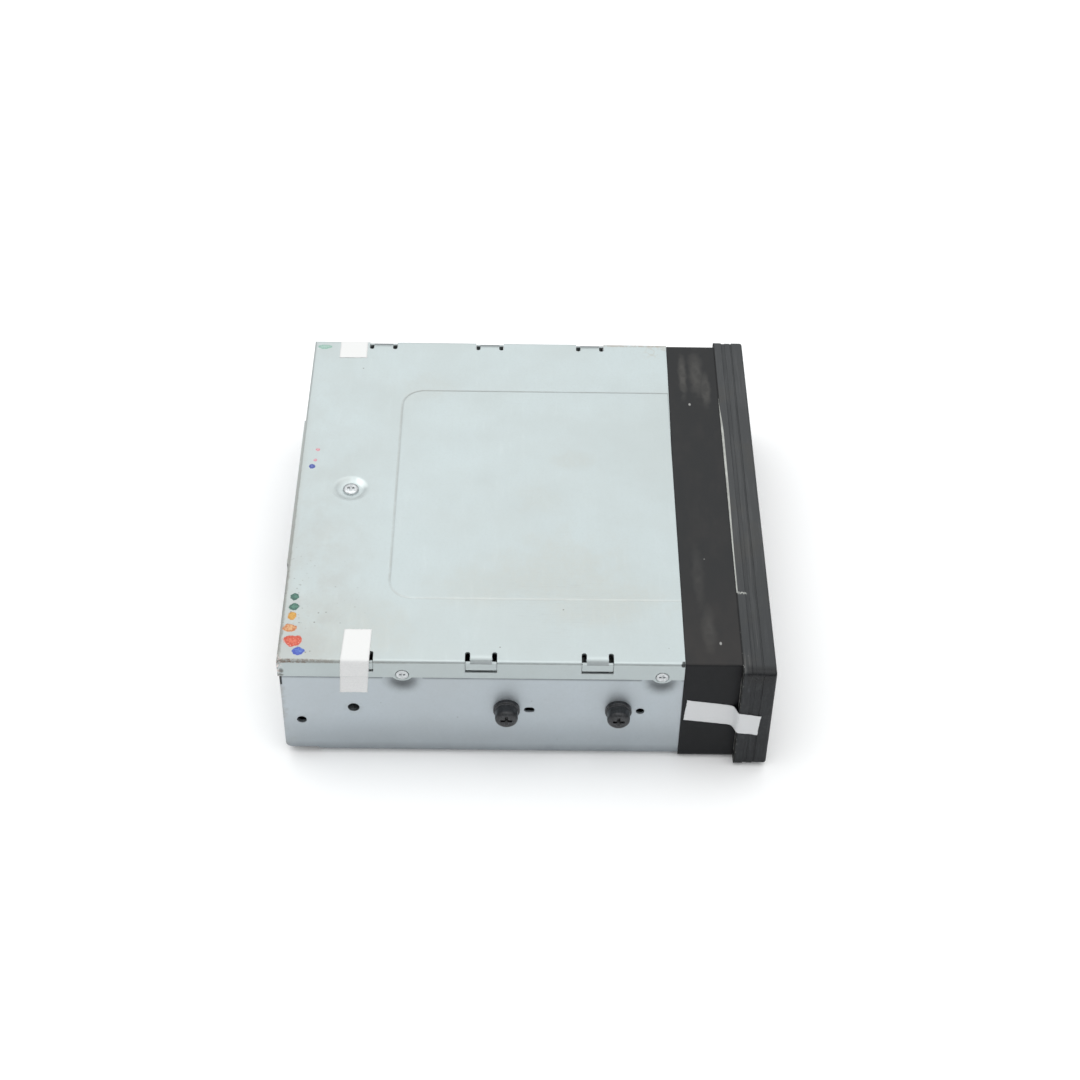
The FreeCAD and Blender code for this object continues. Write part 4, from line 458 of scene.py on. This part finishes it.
def bezel_material():
    s, col, cloud, tex = plastic_base("bezel_plastic", (0.0145, 0.0162, 0.0183), 0.25, 7.0)
    coarse = s.noise(0.06, 5, 0.65, shift=6.0)
    streak = s.noise(0.55, 5, 0.65, stretch=(0.07, 1.6, 1.0), shift=16.0)
    fine = s.noise(2.2, 3, 0.6, stretch=(0.05, 1.0, 0.5), shift=26.0)
    top = s.ramp(s.z, 48.5, 49.5)
    worn = s.times(s.ramp(streak, 0.46, 0.64), s.ramp(coarse, 0.3, 0.6, 0.35, 1.0))
    # painted light: the top is lighter than the sides
    col = s.mix(s.times(top, 0.85), col, (0.060, 0.063, 0.065))
    col = s.mix(s.times(worn, s.ramp(top, 0, 1, 0.20, 0.46)), col, (0.086, 0.089, 0.091))
    col = s.mix(s.times(s.ramp(fine, 0.58, 0.76), s.ramp(coarse, 0.35, 0.6), 0.28), col, (0.105, 0.104, 0.102))
    # painted shade: the top is darker towards the near side
    col = s.mix(s.times(top, s.ramp(s.x, -5, -88, 0.0, 0.42, False)), col, (0.018, 0.020, 0.022))
    along = s.noise(1.1, 3, 0.55, stretch=(0.03, 1.0, 0.3), shift=96.0)
    col = s.mix(s.times(s.ramp(along, 0.54, 0.66), s.ramp(s.x, 10, -60), top, s.ramp(s.y, -170.2, -169.4), 0.5), col, (0.115, 0.113, 0.110))
    warm = s.times(s.ramp(s.noise(0.05, 3, 0.6, shift=36.0), 0.52, 0.66), top)
    col = s.mix(s.times(warm, 0.30), col, (0.066, 0.062, 0.053))
    # rubbed vertical streaks on the near side
    sidey = s.noise(0.8, 4, 0.65, stretch=(1.0, 1.3, 0.12), shift=46.0)
    on_side = s.times(s.ramp(s.m("ABSOLUTE", s.x), 91.0, 91.6), s.m("SUBTRACT", 1.0, top))
    col = s.mix(s.times(on_side, s.ramp(sidey, 0.52, 0.70), 0.4), col, (0.042, 0.046, 0.050))
    # glossy dark rub on the near front corner
    dark = s.times(s.ramp(s.x, -87.5, -90.5), s.ramp(s.z, 41.5, 46.0), s.ramp(s.y, -163.2, -164.6), s.ramp(coarse, 0.2, 0.45, 0.6, 1.0))
    col = s.mix(s.times(dark, 0.75), col, (0.006, 0.006, 0.007))
    specks = s.most(s.dots(6.0, 0.14, 0.26, 2.0), s.times(s.dots(2.4, 0.10, 0.22, 12.0), s.ramp(s.x, -80, -90)))
    col = s.mix(s.times(specks, 0.7), col, (0.26, 0.26, 0.25))
    # seam against the collar: pale where the plating of the lip shows, at chips and along the near joint, dark in the
    # rest
    wob = s.noise(0.25, 4, 0.6, shift=56.0)
    reach = s.m("ADD", s.ramp(s.x, 56.0, 34.0, -162.60, -163.40), s.ramp(s.x, 15.0, -40.0, 0.0, 0.40))
    lip = s.times(
        s.ramp(s.m("SUBTRACT", s.y, s.m("ADD", reach, s.m("MULTIPLY", s.m("SUBTRACT", wob, 0.5), 0.25))), -0.08, 0.04),
        s.band(s.x, -53.0, 56.0, 0.25), s.ramp(s.z, 49.0, 49.3),
    )
    tick = s.times(s.band(s.x, -53.6, -52.4, 0.2), s.band(s.y, -166.2, -163.0, 0.3), top, s.ramp(s.noise(1.6, 3, 0.7, shift=66.0), 0.45, 0.52))
    chips = s.times(s.ramp(s.y, -163.15, -162.85), s.ramp(s.noise(0.9, 4, 0.7, shift=76.0), 0.60, 0.66), s.ramp(s.x, -60, -88))
    # thin white flecks down the joint on the near side: chips, and a painted highlight on the rounded edge
    joint = s.times(s.band(s.m("ABSOLUTE", s.x), 88.5, 89.9, 0.15), s.ramp(s.y, -163.1, -162.9), s.most(s.band(s.z, 29.0, 43.5, 0.8), s.band(s.z, 5.5, 17.0, 0.8)))
    joint = s.times(joint, s.ramp(s.noise(0.9, 4, 0.7, shift=86.0), 0.44, 0.52), s.ramp(s.x, -80, -85))
    pale = s.most(lip, tick, s.times(chips, 0.8), s.times(joint, 0.85))
    seam = s.times(s.ramp(s.y, -163.05, -162.75), s.m("SUBTRACT", 1.0, pale))
    col = s.mix(s.times(seam, 0.85), col, (0.003, 0.003, 0.0035))
    col = s.mix(pale, col, s.mix(s.ramp(wob, 0.3, 0.7), (0.33, 0.335, 0.315), (0.50, 0.51, 0.48)))
    rounded, rim = s.edge(0.22)
    col = s.mix(s.times(rim, s.ramp(coarse, 0.35, 0.62, 0.1, 0.55)), col, (0.090, 0.093, 0.095))
    r = s.m("ADD", s.ramp(streak, 0.3, 0.7, 0.46, 0.58), s.m("MULTIPLY", dark, -0.22))
    n = s.bump(tex, 0.015, rounded)
    n = s.bump(s.m("ADD", worn, s.m("MULTIPLY", fine, 0.5)), 0.012, n)
    return s.done(col, r, n)


def plastic(name, base, rough=0.45, spread=0.06, edge_tone=1.8, coat=0.0):
    s = Mat(name)
    if coat:
        s.bsdf.inputs["Coat Weight"].default_value = coat
        s.bsdf.inputs["Coat Roughness"].default_value = 0.12
    cloud = s.noise(0.10, 4, 0.6, shift=5.0)
    tex = s.noise(6.0, 2, 0.6, shift=25.0)
    scuff = s.noise(0.6, 5, 0.7, stretch=(0.3, 1.2, 1.2), shift=35.0)
    col = s.mix(s.ramp(cloud, 0.3, 0.7), tint(base, 0.88), tint(base, 1.10, 0.01))
    col = s.mix(s.ramp(scuff, 0.60, 0.75, 0.0, 0.35), col, tint(base, edge_tone * 0.8))
    rounded, rim = s.edge(0.15)
    col = s.mix(s.times(rim, 0.35), col, tint(base, edge_tone))
    r = s.ramp(cloud, 0.2, 0.8, rough - spread, rough + spread, False)
    return s.done(col, r, s.bump(tex, 0.008, rounded))


def metal(name, base, rough=0.25, brush=(0.15, 1, 1), lathe=False):
    s = Mat(name, Metallic=1.0)
    lines = s.noise(3.0, 3, 0.6, stretch=brush, shift=8.0)
    cloud = s.noise(0.15, 4, 0.6, shift=18.0)
    spots = s.noise(0.9, 4, 0.7, shift=28.0)
    col = s.mix(s.ramp(lines, 0.3, 0.7), tint(base, 0.90), tint(base, 1.06))
    col = s.mix(s.ramp(spots, 0.60, 0.75, 0.0, 0.45), col, tint(base, 0.60, 0.03))
    r = s.m("ADD", s.ramp(lines, 0.2, 0.8, rough - 0.06, rough + 0.08, False), s.ramp(cloud, 0.4, 0.8, 0.0, 0.1))
    rounded, rim = s.edge(0.1)
    col = s.mix(s.times(rim, 0.4), col, tint(base, 1.2))
    return s.done(col, r, s.bump(lines, 0.006, rounded))


def screw_material():
    s = Mat("screw_zinc", Metallic=1.0)
    base = (0.57, 0.59, 0.60)
    turn = s.noise(1.4, 3, 0.6, shift=8.0)
    col = s.mix(s.ramp(turn, 0.35, 0.7), tint(base, 0.86), tint(base, 1.12))
    grime = s.noise(1.1, 4, 0.7, shift=38.0)
    col = s.mix(s.ramp(grime, 0.55, 0.72, 0.0, 0.6), col, (0.20, 0.19, 0.175))
    rounded, rim = s.edge(0.12)
    col = s.mix(s.times(rim, 0.5), col, (0.88, 0.88, 0.88))
    r = s.ramp(grime, 0.4, 0.75, 0.24, 0.48)
    return s.done(col, r, s.bump(turn, 0.01, rounded))


def thread_material():
    s = Mat("tapped_steel", Metallic=0.9)
    turn = s.noise(1.6, 3, 0.6, shift=8.0)
    col = s.mix(s.ramp(turn, 0.35, 0.7), (0.075, 0.085, 0.09), (0.15, 0.16, 0.165))
    col = s.mix(s.ramp(s.noise(0.9, 4, 0.7, shift=38.0), 0.5, 0.7, 0.0, 0.6), col, (0.035, 0.033, 0.030))
    return s.done(col, s.ramp(turn, 0.3, 0.7, 0.35, 0.5), s.bump(turn, 0.01))


def black_screw_material():
    s = Mat("screw_black", Metallic=0.55)
    s.bsdf.inputs["Coat Weight"].default_value = 0.25
    s.bsdf.inputs["Coat Roughness"].default_value = 0.22
    base = (0.024, 0.025, 0.0275)
    turn = s.noise(1.2, 4, 0.65, shift=8.0)
    col = s.mix(s.ramp(turn, 0.3, 0.7), tint(base, 0.72), tint(base, 1.5))
    rounded, rim = s.edge(0.22)
    wear = s.noise(1.8, 3, 0.7, shift=48.0)
    col = s.mix(s.times(rim, s.ramp(wear, 0.35, 0.65, 0.2, 0.85)), col, (0.17, 0.17, 0.175))
    r = s.ramp(turn, 0.25, 0.75, 0.26, 0.42)
    return s.done(col, r, s.bump(wear, 0.01, rounded))


def paper_material():
    s = Mat("paper_tape")
    fibre = s.noise(1.6, 5, 0.7, shift=8.0, distort=0.6)
    cloud = s.noise(0.12, 3, 0.6, shift=18.0)
    on_top = s.ramp(s.z, 49.6, 50.0)
    front = s.ramp(s.y, -135, -143)
    col = s.mix(s.ramp(fibre, 0.3, 0.7), (0.70, 0.70, 0.70), (0.76, 0.76, 0.755))
    # painted light: the paper on the top is lighter
    col = s.mix(s.times(on_top, 0.85), col, (0.775, 0.775, 0.765))
    col = s.mix(s.times(front, 0.8), col, (0.63, 0.64, 0.65))
    col = s.mix(s.ramp(cloud, 0.55, 0.75, 0.0, 0.12), col, (0.74, 0.71, 0.66))
    # the metal shows through faintly where the tape lies over an edge
    edge = s.times(s.band(s.z, 41.2, 42.3, 0.3), s.m("SUBTRACT", 1.0, front))
    col = s.mix(s.times(edge, 0.10), col, (0.52, 0.53, 0.54))
    r = s.ramp(fibre, 0.2, 0.8, 0.75, 0.88, False)
    n = s.bump(fibre, 0.02)
    n = s.bump(s.noise(0.5, 3, 0.6, stretch=(1, 0.25, 1.6), shift=31.0), 0.05, n)
    return s.done(col, r, n)


def rubber(name, base, rough=0.7):
    s = Mat(name)
    cloud = s.noise(0.2, 4, 0.6, shift=5.0)
    tex = s.noise(4.0, 3, 0.7, shift=25.0)
    col = s.mix(s.ramp(cloud, 0.3, 0.7), tint(base, 0.8), tint(base, 1.25))
    col = s.mix(s.ramp(tex, 0.60, 0.78, 0.0, 0.3), col, tint(base, 2.2, 0.02))
    r = s.ramp(tex, 0.2, 0.8, rough - 0.08, rough + 0.08, False)
    rounded, rim = s.edge(0.15)
    return s.done(col, r, s.bump(tex, 0.03, rounded))


def felt():
    s = Mat("felt", Sheen_Weight=0.4, Sheen_Roughness=0.6)
    fibre = s.noise(5.0, 5, 0.75, shift=5.0, distort=1.2)
    lint = s.noise(1.3, 4, 0.7, shift=9.0, distort=2.0)
    col = s.mix(s.ramp(fibre, 0.3, 0.7), (0.010, 0.010, 0.011), (0.040, 0.040, 0.042))
    col = s.mix(s.ramp(lint, 0.66, 0.74, 0.0, 0.6), col, (0.20, 0.19, 0.18))
    return s.done(col, 0.95, s.bump(fibre, 0.12))


def circuit():
    s = Mat("circuit_board")
    s.bsdf.inputs["Coat Weight"].default_value = 0.4
    s.bsdf.inputs["Coat Roughness"].default_value = 0.2
    weave = s.noise(1.4, 2, 0.5, stretch=(1, 0.2, 1), shift=5.0)
    # tracks: stepped noise, in two directions
    a = s.noise(0.22, 0, 0.5, stretch=(1.0, 0.10, 0.0), shift=15.0)
    b = s.noise(0.22, 0, 0.5, stretch=(0.10, 1.0, 0.0), shift=25.0)
    tracks = s.most(
        s.band(s.m("FRACT", s.m("MULTIPLY", a, 16.0)), 0.35, 0.65, 0.06), s.times(s.band(s.m("FRACT", s.m("MULTIPLY", b, 16.0)), 0.35, 0.65, 0.06), 0.8)
    )
    col = s.mix(s.ramp(weave, 0.3, 0.7), (0.010, 0.075, 0.030), (0.014, 0.105, 0.044))
    col = s.mix(s.times(tracks, 0.7), col, (0.035, 0.20, 0.085))
    pads = s.dots(4.0, 0.35, 0.55, 3.0)
    col = s.mix(pads, col, (0.55, 0.54, 0.50))
    return s.done(col, s.ramp(weave, 0.3, 0.7, 0.35, 0.5), s.bump(s.most(tracks, pads), 0.03))


def chip():
    s = Mat("chip_epoxy")
    tex = s.noise(7.0, 3, 0.6, shift=5.0)
    cloud = s.noise(0.3, 3, 0.6, shift=9.0)
    col = s.mix(s.ramp(cloud, 0.3, 0.7), (0.011, 0.011, 0.012), (0.023, 0.023, 0.024))
    dimple = s.dots(9.0, 0.7, 0.45, 2.0)
    col = s.mix(s.times(dimple, 0.8), col, (0.05, 0.05, 0.05))
    rounded, rim = s.edge(0.12)
    col = s.mix(s.times(rim, 0.4), col, (0.05, 0.05, 0.052))
    return s.done(col, s.ramp(tex, 0.2, 0.8, 0.45, 0.62, False), s.bump(tex, 0.02, rounded))


def glass(name, base, rough=0.06):
    s = Mat(name, IOR=1.5, Transmission_Weight=0.7)
    cloud = s.noise(0.8, 3, 0.6, shift=5.0)
    col = s.mix(s.ramp(cloud, 0.3, 0.7), tint(base, 0.92), tint(base, 1.05))
    return s.done(col, s.ramp(cloud, 0.2, 0.8, rough, rough + 0.10, False), s.bump(cloud, 0.01))


def ribbon():
    s = Mat("ribbon_film")
    s.bsdf.inputs["Coat Weight"].default_value = 0.3
    lines = s.band(s.m("FRACT", s.m("MULTIPLY", s.x, 1.0)), 0.28, 0.72, 0.08)
    cloud = s.noise(0.3, 3, 0.6, shift=5.0)
    col = s.mix(s.ramp(cloud, 0.3, 0.7), (0.62, 0.64, 0.66), (0.72, 0.73, 0.75))
    col = s.mix(s.times(lines, 0.45), col, (0.42, 0.40, 0.38))
    return s.done(col, s.ramp(cloud, 0.2, 0.8, 0.28, 0.42, False), s.bump(lines, 0.03))


ZINC_IN = (0.56, 0.59, 0.60)
BY_SLOT = {
    "zinc_sheet": cover_material,
    "zinc_sheet_lower": chassis_material,
    "zinc_sheet_inner": lambda: plain_zinc("zinc_inner", ZINC_IN),
    "steel_bright": lambda: metal("steel_bright", (0.60, 0.61, 0.62), 0.22),
    "steel_screw": screw_material,
    "black_screw": black_screw_material,
    "black_plastic": bezel_material,
    "black_plastic_collar": collar_material,
    "black_gloss": lambda: plastic("gloss_black", (0.012, 0.012, 0.013), 0.28, 0.05, 2.6, 0.5),
    "clear_lens": lambda: glass("clear_lens", (0.80, 0.86, 0.84)),
    "felt_black": felt,
    "circuit_green": circuit,
    "chip_black": chip,
    "can_aluminium": lambda: metal("can_aluminium", (0.66, 0.67, 0.69), 0.24, (1, 1, 0.2)),
    "socket_white": lambda: plastic("socket_white", (0.58, 0.56, 0.50), 0.45, 0.06, 1.15),
    "socket_black": lambda: plastic("socket_black", (0.020, 0.020, 0.021), 0.42),
    "socket_grey": lambda: plastic("socket_grey", (0.060, 0.064, 0.070), 0.42),
    "gold_contact": lambda: metal("gold_contact", (0.70, 0.47, 0.16), 0.2, (1, 0.2, 1)),
    "gear_white": lambda: plastic("acetal_white", (0.70, 0.70, 0.67), 0.38, 0.06, 1.15),
    "gear_brass": lambda: metal("brass", (0.62, 0.45, 0.17), 0.25, (0.2, 1, 1)),
    "motor_can": lambda: metal("motor_can", (0.50, 0.51, 0.52), 0.30, (0.25, 1, 1)),
    "rubber_black": lambda: rubber("rubber_black", (0.018, 0.018, 0.019)),
    "roller_rubber": lambda: rubber("roller_rubber", (0.045, 0.045, 0.050), 0.65),
    "disc_seat": lambda: plastic("disc_seat", (0.035, 0.035, 0.04), 0.40),
    "pickup_body": lambda: metal("pickup_casting", (0.36, 0.37, 0.38), 0.45, (1, 1, 1)),
    "lens_glass": lambda: glass("lens_glass", (0.45, 0.50, 0.80), 0.03),
    "ribbon": ribbon,
    "paper": paper_material,
}
made = {}


def slot_material(name):
    if name not in made:
        made[name] = BY_SLOT[name]()
    return made[name]


def paint(obj, mat):
    if not obj.material_slots:
        obj.data.materials.append(mat)
    for s in obj.material_slots:
        s.material = mat


slots = {sp["node"]: sp["material_slot"] for sp in frame["record"]["subparts"]}
for name, obj in NODES.items():
    paint(obj, slot_material(slots[name]))


# ---------------------------------------------------------------- pieces made here
def world(x, y, z):
    return Vector((x / 1000, (y + Y0) / 1000, z / 1000))


def mesh_piece(name, verts, faces, slot_name, body="case", replaces=(), smooth=True):
    me = bpy.data.meshes.new(name)
    me.from_pydata([tuple(v) for v in verts], [], faces)
    bm = bmesh.new()
    bm.from_mesh(me)
    bmesh.ops.remove_doubles(bm, verts=bm.verts, dist=1e-7)
    bmesh.ops.recalc_face_normals(bm, faces=bm.faces)
    bm.to_mesh(me)
    bm.free()
    if smooth:
        me.shade_smooth()
    obj = bpy.data.objects.new(name, me)
    bpy.context.scene.collection.objects.link(obj)
    paint(obj, slot_material(slot_name))
    if replaces:
        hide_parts(*replaces)
    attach(obj, body)
    return obj


def resample(points, step):
    """Points about step apart along a polyline of equal-length tuples, with the corners kept."""
    out = [points[0]]
    for a, b in zip(points, points[1:]):
        n = max(1, round(math.dist(a[:3], b[:3]) / step))
        out += [tuple(p + (q - p) * k / n for p, q in zip(a, b)) for k in range(1, n + 1)]
    return out


def tape(rows, across, thick, seed):
    """Vertices and faces of one strip of paper. rows is a list of (one edge, other edge, outward direction, crease)."""
    verts, faces = [], []
    n = across + 1
    total = len(rows)
    for side in (0, 1):
        for i, (a, b, out, crease) in enumerate(rows):
            for j in range(n):
                t = j / across
                p = a.lerp(b, t)
                # torn edges run a little uneven
                if j in (0, across):
                    w = noise.noise(Vector((i * 0.35, seed * 3.1 + j, 0.5))) * 0.09
                    p = p + (b - a).normalized() * w
                if i in (0, total - 1):
                    w = noise.noise(Vector((j * 0.9, seed * 7.7 + i, 1.5))) * 0.22
                    along = (rows[1][0] - rows[0][0]).normalized() if i == 0 else (rows[-1][0] - rows[-2][0]).normalized()
                    p = p + along * w * 1.0
                lift = 0.02 + max(0.0, noise.noise(Vector((p.x * 0.25, p.y * 0.35, p.z * 0.30 + seed)))) * 0.10
                lift += crease * (0.6 + 0.4 * noise.noise(Vector((t * 3.0, i * 0.2, seed))))
                if out.z > 0.9:
                    lift = min(lift, 0.036)
                p = p + out * (lift + (thick if side else 0.0))
                verts.append(world(*p))
    base = total * n
    for i in range(total - 1):
        for j in range(across):
            k = i * n + j
            faces.append((k, k + n, k + n + 1, k + 1))
            faces.append((base + k, base + k + 1, base + k + n + 1, base + k + n))
    rim = [j for j in range(n)] + [i * n + across for i in range(1, total)] + [(total - 1) * n + j for j in range(across - 1, -1, -1)] + [i * n for i in range(total - 2, 0, -1)]
    for a, b in zip(rim, rim[1:] + rim[:1]):
        faces.append((a, b, base + b, base + a))
    return verts, faces


def over_edge(sx, x_end, start, bend, low, creases, seed):
    """A strip over the cover's rounded edge and down its side. start and bend are the two edges' y at its end on the top
    and at the fold, and low is (y, y, z) of its end on the chassis side."""
    prof = [(sx * x_end, 50.0, 0, 1)]
    prof += [(sx * x, 50.0, 0, 1) for x in (80.0, 84.0, 87.2, 87.9) if x > x_end + 0.5]
    for k in range(1, 7):
        a = math.radians(90 - 15 * k)
        prof.append((sx * (88.0 + math.cos(a)), 49.0 + math.sin(a), sx * math.cos(a), math.sin(a)))
    prof += [(sx * 89.0, z, sx, 0) for z in (48.0, 46.0, 44.0, 42.6)]
    prof += [(sx * 88.86, 41.95, sx, 0), (sx * 88.45, 41.35, sx, 0), (sx * 88.16, 40.7, sx, 0)]
    prof += [(sx * 88.10, z, sx, 0) for z in (40.0, 37.5, low[2])]
    prof = resample([(p[0], 0.0, p[1], p[2], p[3]) for p in prof], 0.45)
    rows = []
    for x, _, z, nx, nz in prof:
        t = min(1.0, max(0.0, (abs(x) - x_end) / (88.0 - x_end)))
        ya, yb = start[0] + (bend[0] - start[0]) * t, start[1] + (bend[1] - start[1]) * t
        t = min(1.0, max(0.0, (49.8 - z) / (49.8 - low[2])))
        ya, yb = ya + (low[0] - bend[0]) * t, yb + (low[1] - bend[1]) * t
        crease = sum(h * math.exp(-(((z - cz) / w) ** 2)) for cz, w, h in creases) if abs(x) > 88.5 or z < 48 else 0.0
        rows.append((Vector((x, ya, z)), Vector((x, yb, z)), Vector((nx, 0, nz)).normalized(), crease))
    return tape(rows, 16, 0.11, seed)


def along_front(seed):
    """The strip from the collar over the step onto the bezel's side."""
    a, b = 88.7, 92.4
    plan = [(-a, -143.4), (-a, -150.0), (-a, -156.0), (-a, -159.2), (-a - 0.12, -160.3), (-a - 0.55, -161.0), (-a - 1.5, -161.55), (-b + 1.1, -161.95),
            (-b + 0.35, -162.25), (-b, -162.75), (-b, -163.6), (-b, -165.6), (-b + 0.10, -166.6), (-b + 0.04, -167.6), (-b, -169.0), (-b, -170.4)]
    plan = resample([(x, y, 0.0) for x, y in plan], 0.4)
    rows = []
    for i, (x, y, _) in enumerate(plan):
        q, p = plan[min(i + 1, len(plan) - 1)], plan[max(i - 1, 0)]
        d = Vector((q[0] - p[0], q[1] - p[1], 0)).normalized()
        out = Vector((d.y, -d.x, 0))
        if out.x > 0:
            out = -out
        t = (-143.4 - y) / (170.4 - 143.4)
        zt = 31.2 + (28.5 - 31.2) * min(1, t / 0.7) + (27.1 - 28.5) * max(0, (t - 0.7) / 0.3)
        zb = 20.9 + (18.35 - 20.9) * min(1, t / 0.7) + (17.2 - 18.35) * max(0, (t - 0.7) / 0.3)
        crease = 0.06 * math.exp(-(((y + 159.6) / 0.5) ** 2)) + 0.05 * math.exp(-(((y + 163.2) / 0.5) ** 2))
        # both ends are torn on the slant
        yt = y - 0.75 * max(0.0, 1 - (-143.4 - y) / 3.0)
        yb = y + 0.60 * max(0.0, 1 - (y + 170.4) / 2.0)
        rows.append((Vector((x, yb, zb)), Vector((x, yt, zt)), out, crease))
    return tape(rows, 18, 0.11, seed)


verts, faces = [], []
for v, f in (
    over_edge(-1, 73.8, (-32.5, -22.8), (-32.3, -22.2), (-31.1, -21.3, 33.0), [(48.4, 0.22, 0.14), (46.3, 0.32, 0.22), (44.9, 0.2, 0.10), (42.2, 0.35, 0.12)], 1.0),
    over_edge(1, 78.2, (-21.6, -10.5), (-21.6, -10.5), (-21.6, -10.5, 34.0), [(45.5, 0.4, 0.10)], 2.0),
    along_front(3.0),
):
    faces += [tuple(i + len(verts) for i in face) for face in f]
    verts += v
strips = mesh_piece("paper_tape_strips", verts, faces, "paper", replaces=("paper_tape",))


def thread(sx):
    """The thread of the free tapped hole: a ring whose bore winds inwards with a 0.8 mm pitch."""
    verts, faces = [], []
    seg, steps = 48, 26
    x0, x1 = 85.35, 87.95
    loop = 2 * (steps + 1)
    for k in range(seg):
        a = 2 * math.pi * k / seg
        ring = []
        for i in range(steps + 1):
            x = x0 + (x1 - x0) * i / steps
            phase = (x / 0.8 + k / seg) % 1.0
            r = 1.80 + 0.26 * abs(2 * phase - 1)
            fade = min(1.0, (x1 - x) / 0.35)
            ring.append((x, r + (2.085 - r) * (1 - fade) * 0.85))
        ring += [(x, 2.095) for x, _ in reversed(ring)]
        for x, r in ring:
            verts.append(world(sx * x, -25.8 + r * math.cos(a), 24.9 + r * math.sin(a)))
    for k in range(seg):
        for i in range(loop):
            a, b = k * loop + i, k * loop + (i + 1) % loop
            c, d = ((k + 1) % seg) * loop + (i + 1) % loop, ((k + 1) % seg) * loop + i
            faces.append((a, b, c, d))
    piece = mesh_piece("tapped_thread_left" if sx < 0 else "tapped_thread_right", verts, faces, "steel_screw")
    paint(piece, thread_material())
    return piece


for sx in (-1, 1):
    thread(sx)


def under_deck(node, name):
    """The node's own shape as a separate piece, in place of the hidden node."""
    me = NODES[node].data.copy()
    me.name = name
    me.transform(NODES[node].matrix_world)
    obj = bpy.data.objects.new(name, me)
    bpy.context.scene.collection.objects.link(obj)
    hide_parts(node)
    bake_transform(obj)


under_deck("rubber_dampers", "soft_dampers")
under_deck("deck_springs", "soft_deck_springs")
under_deck("ribbon_cable", "soft_ribbon_cable")


# ---------------------------------------------------------------- floor, light and camera
def floor_material():
    s = Mat("studio_floor")
    cloud = s.noise(0.004, 3, 0.5, shift=5.0)
    col = s.mix(s.ramp(cloud, 0.3, 0.7), (0.955, 0.955, 0.955), (0.97, 0.97, 0.97))
    s.bsdf.inputs["Emission Color"].default_value = (1, 1, 1, 1)
    s.bsdf.inputs["Emission Strength"].default_value = 0.05
    return s.done(col, 0.9, s.bump(s.noise(0.5, 2, 0.5), 0.02))


bm = bmesh.new()
rings = []
for r in (0.0, 0.15, 0.4, 1.0, 2.5):
    if r == 0.0:
        rings.append([bm.verts.new((0, 0, -0.0002))])
    else:
        rings.append([bm.verts.new((r * math.cos(2 * math.pi * k / 48), r * math.sin(2 * math.pi * k / 48), -0.0002)) for k in range(48)])
for k in range(48):
    bm.faces.new((rings[0][0], rings[1][k], rings[1][(k + 1) % 48]))
    for a, b in zip(rings[1:], rings[2:]):
        bm.faces.new((a[k], b[k], b[(k + 1) % 48], a[(k + 1) % 48]))
me = bpy.data.meshes.new("floor")
bm.to_mesh(me)
bm.free()
floor = bpy.data.objects.new("floor", me)
bpy.context.scene.collection.objects.link(floor)
me.materials.append(floor_material())

w = bpy.data.worlds.new("studio")
bpy.context.scene.world = w
w.use_nodes = True
nt = w.node_tree
nt.nodes.clear()
out = nt.nodes.new("ShaderNodeOutputWorld")
bg = nt.nodes.new("ShaderNodeBackground")
tc = nt.nodes.new("ShaderNodeTexCoord")
sep = nt.nodes.new("ShaderNodeSeparateXYZ")
rng = nt.nodes.new("ShaderNodeMapRange")
rng.interpolation_type = "SMOOTHSTEP"
rng.inputs["From Min"].default_value = 0.20
rng.inputs["From Max"].default_value = 0.60
mixc = nt.nodes.new("ShaderNodeMix")
mixc.data_type = "RGBA"
mixc.inputs[6].default_value = (0.20, 0.205, 0.215, 1)
mixc.inputs[7].default_value = (1.06, 1.075, 1.08, 1)
nt.links.new(tc.outputs["Generated"], sep.inputs[0])
nt.links.new(sep.outputs[2], rng.inputs["Value"])
nt.links.new(rng.outputs[0], mixc.inputs[0])
nt.links.new(mixc.outputs[2], bg.inputs["Color"])
nt.links.new(bg.outputs[0], out.inputs["Surface"])
bg.inputs["Strength"].default_value = 1.0


def softbox(name, place, target, size, energy, color=(1, 1, 1)):
    data = bpy.data.lights.new(name, "AREA")
    data.shape = "RECTANGLE"
    data.size, data.size_y = size
    data.energy = energy
    data.color = color
    obj = bpy.data.objects.new(name, data)
    bpy.context.scene.collection.objects.link(obj)
    obj.location = place
    obj.rotation_euler = (Vector(target) - Vector(place)).to_track_quat("-Z", "Y").to_euler()


softbox("softbox_top", (0.15, 0.15, 1.3), (0, 0, 0.02), (1.6, 1.6), 6.5)
softbox("softbox_front", (-0.9, -0.7, 1.0), (0, 0, 0.02), (1.0, 1.0), 1.2)

cam_data = bpy.data.cameras.new("camera")
cam_data.sensor_width = 36.0
cam_data.lens = 2109.384 / 1080 * 36.0
cam_data.clip_start, cam_data.clip_end = 0.05, 20
cam = bpy.data.objects.new("camera", cam_data)
bpy.context.scene.collection.objects.link(cam)
right = Vector((0.00066, -0.99988, 0.01529))
down = Vector((-0.69139, -0.01151, -0.72239))
fwd = Vector((0.72248, -0.0101, -0.69131))
cam.matrix_world = Matrix((
    (right.x, -down.x, -fwd.x, -0.589142),
    (right.y, -down.y, -fwd.y, 0.002321),
    (right.z, -down.z, -fwd.z, 0.587732),
    (0, 0, 0, 1),
))
bpy.context.scene.camera = cam
bpy.context.scene.view_settings.view_transform = "Standard"
bpy.context.scene.view_settings.look = "None"

bpy.context.view_layer.update()
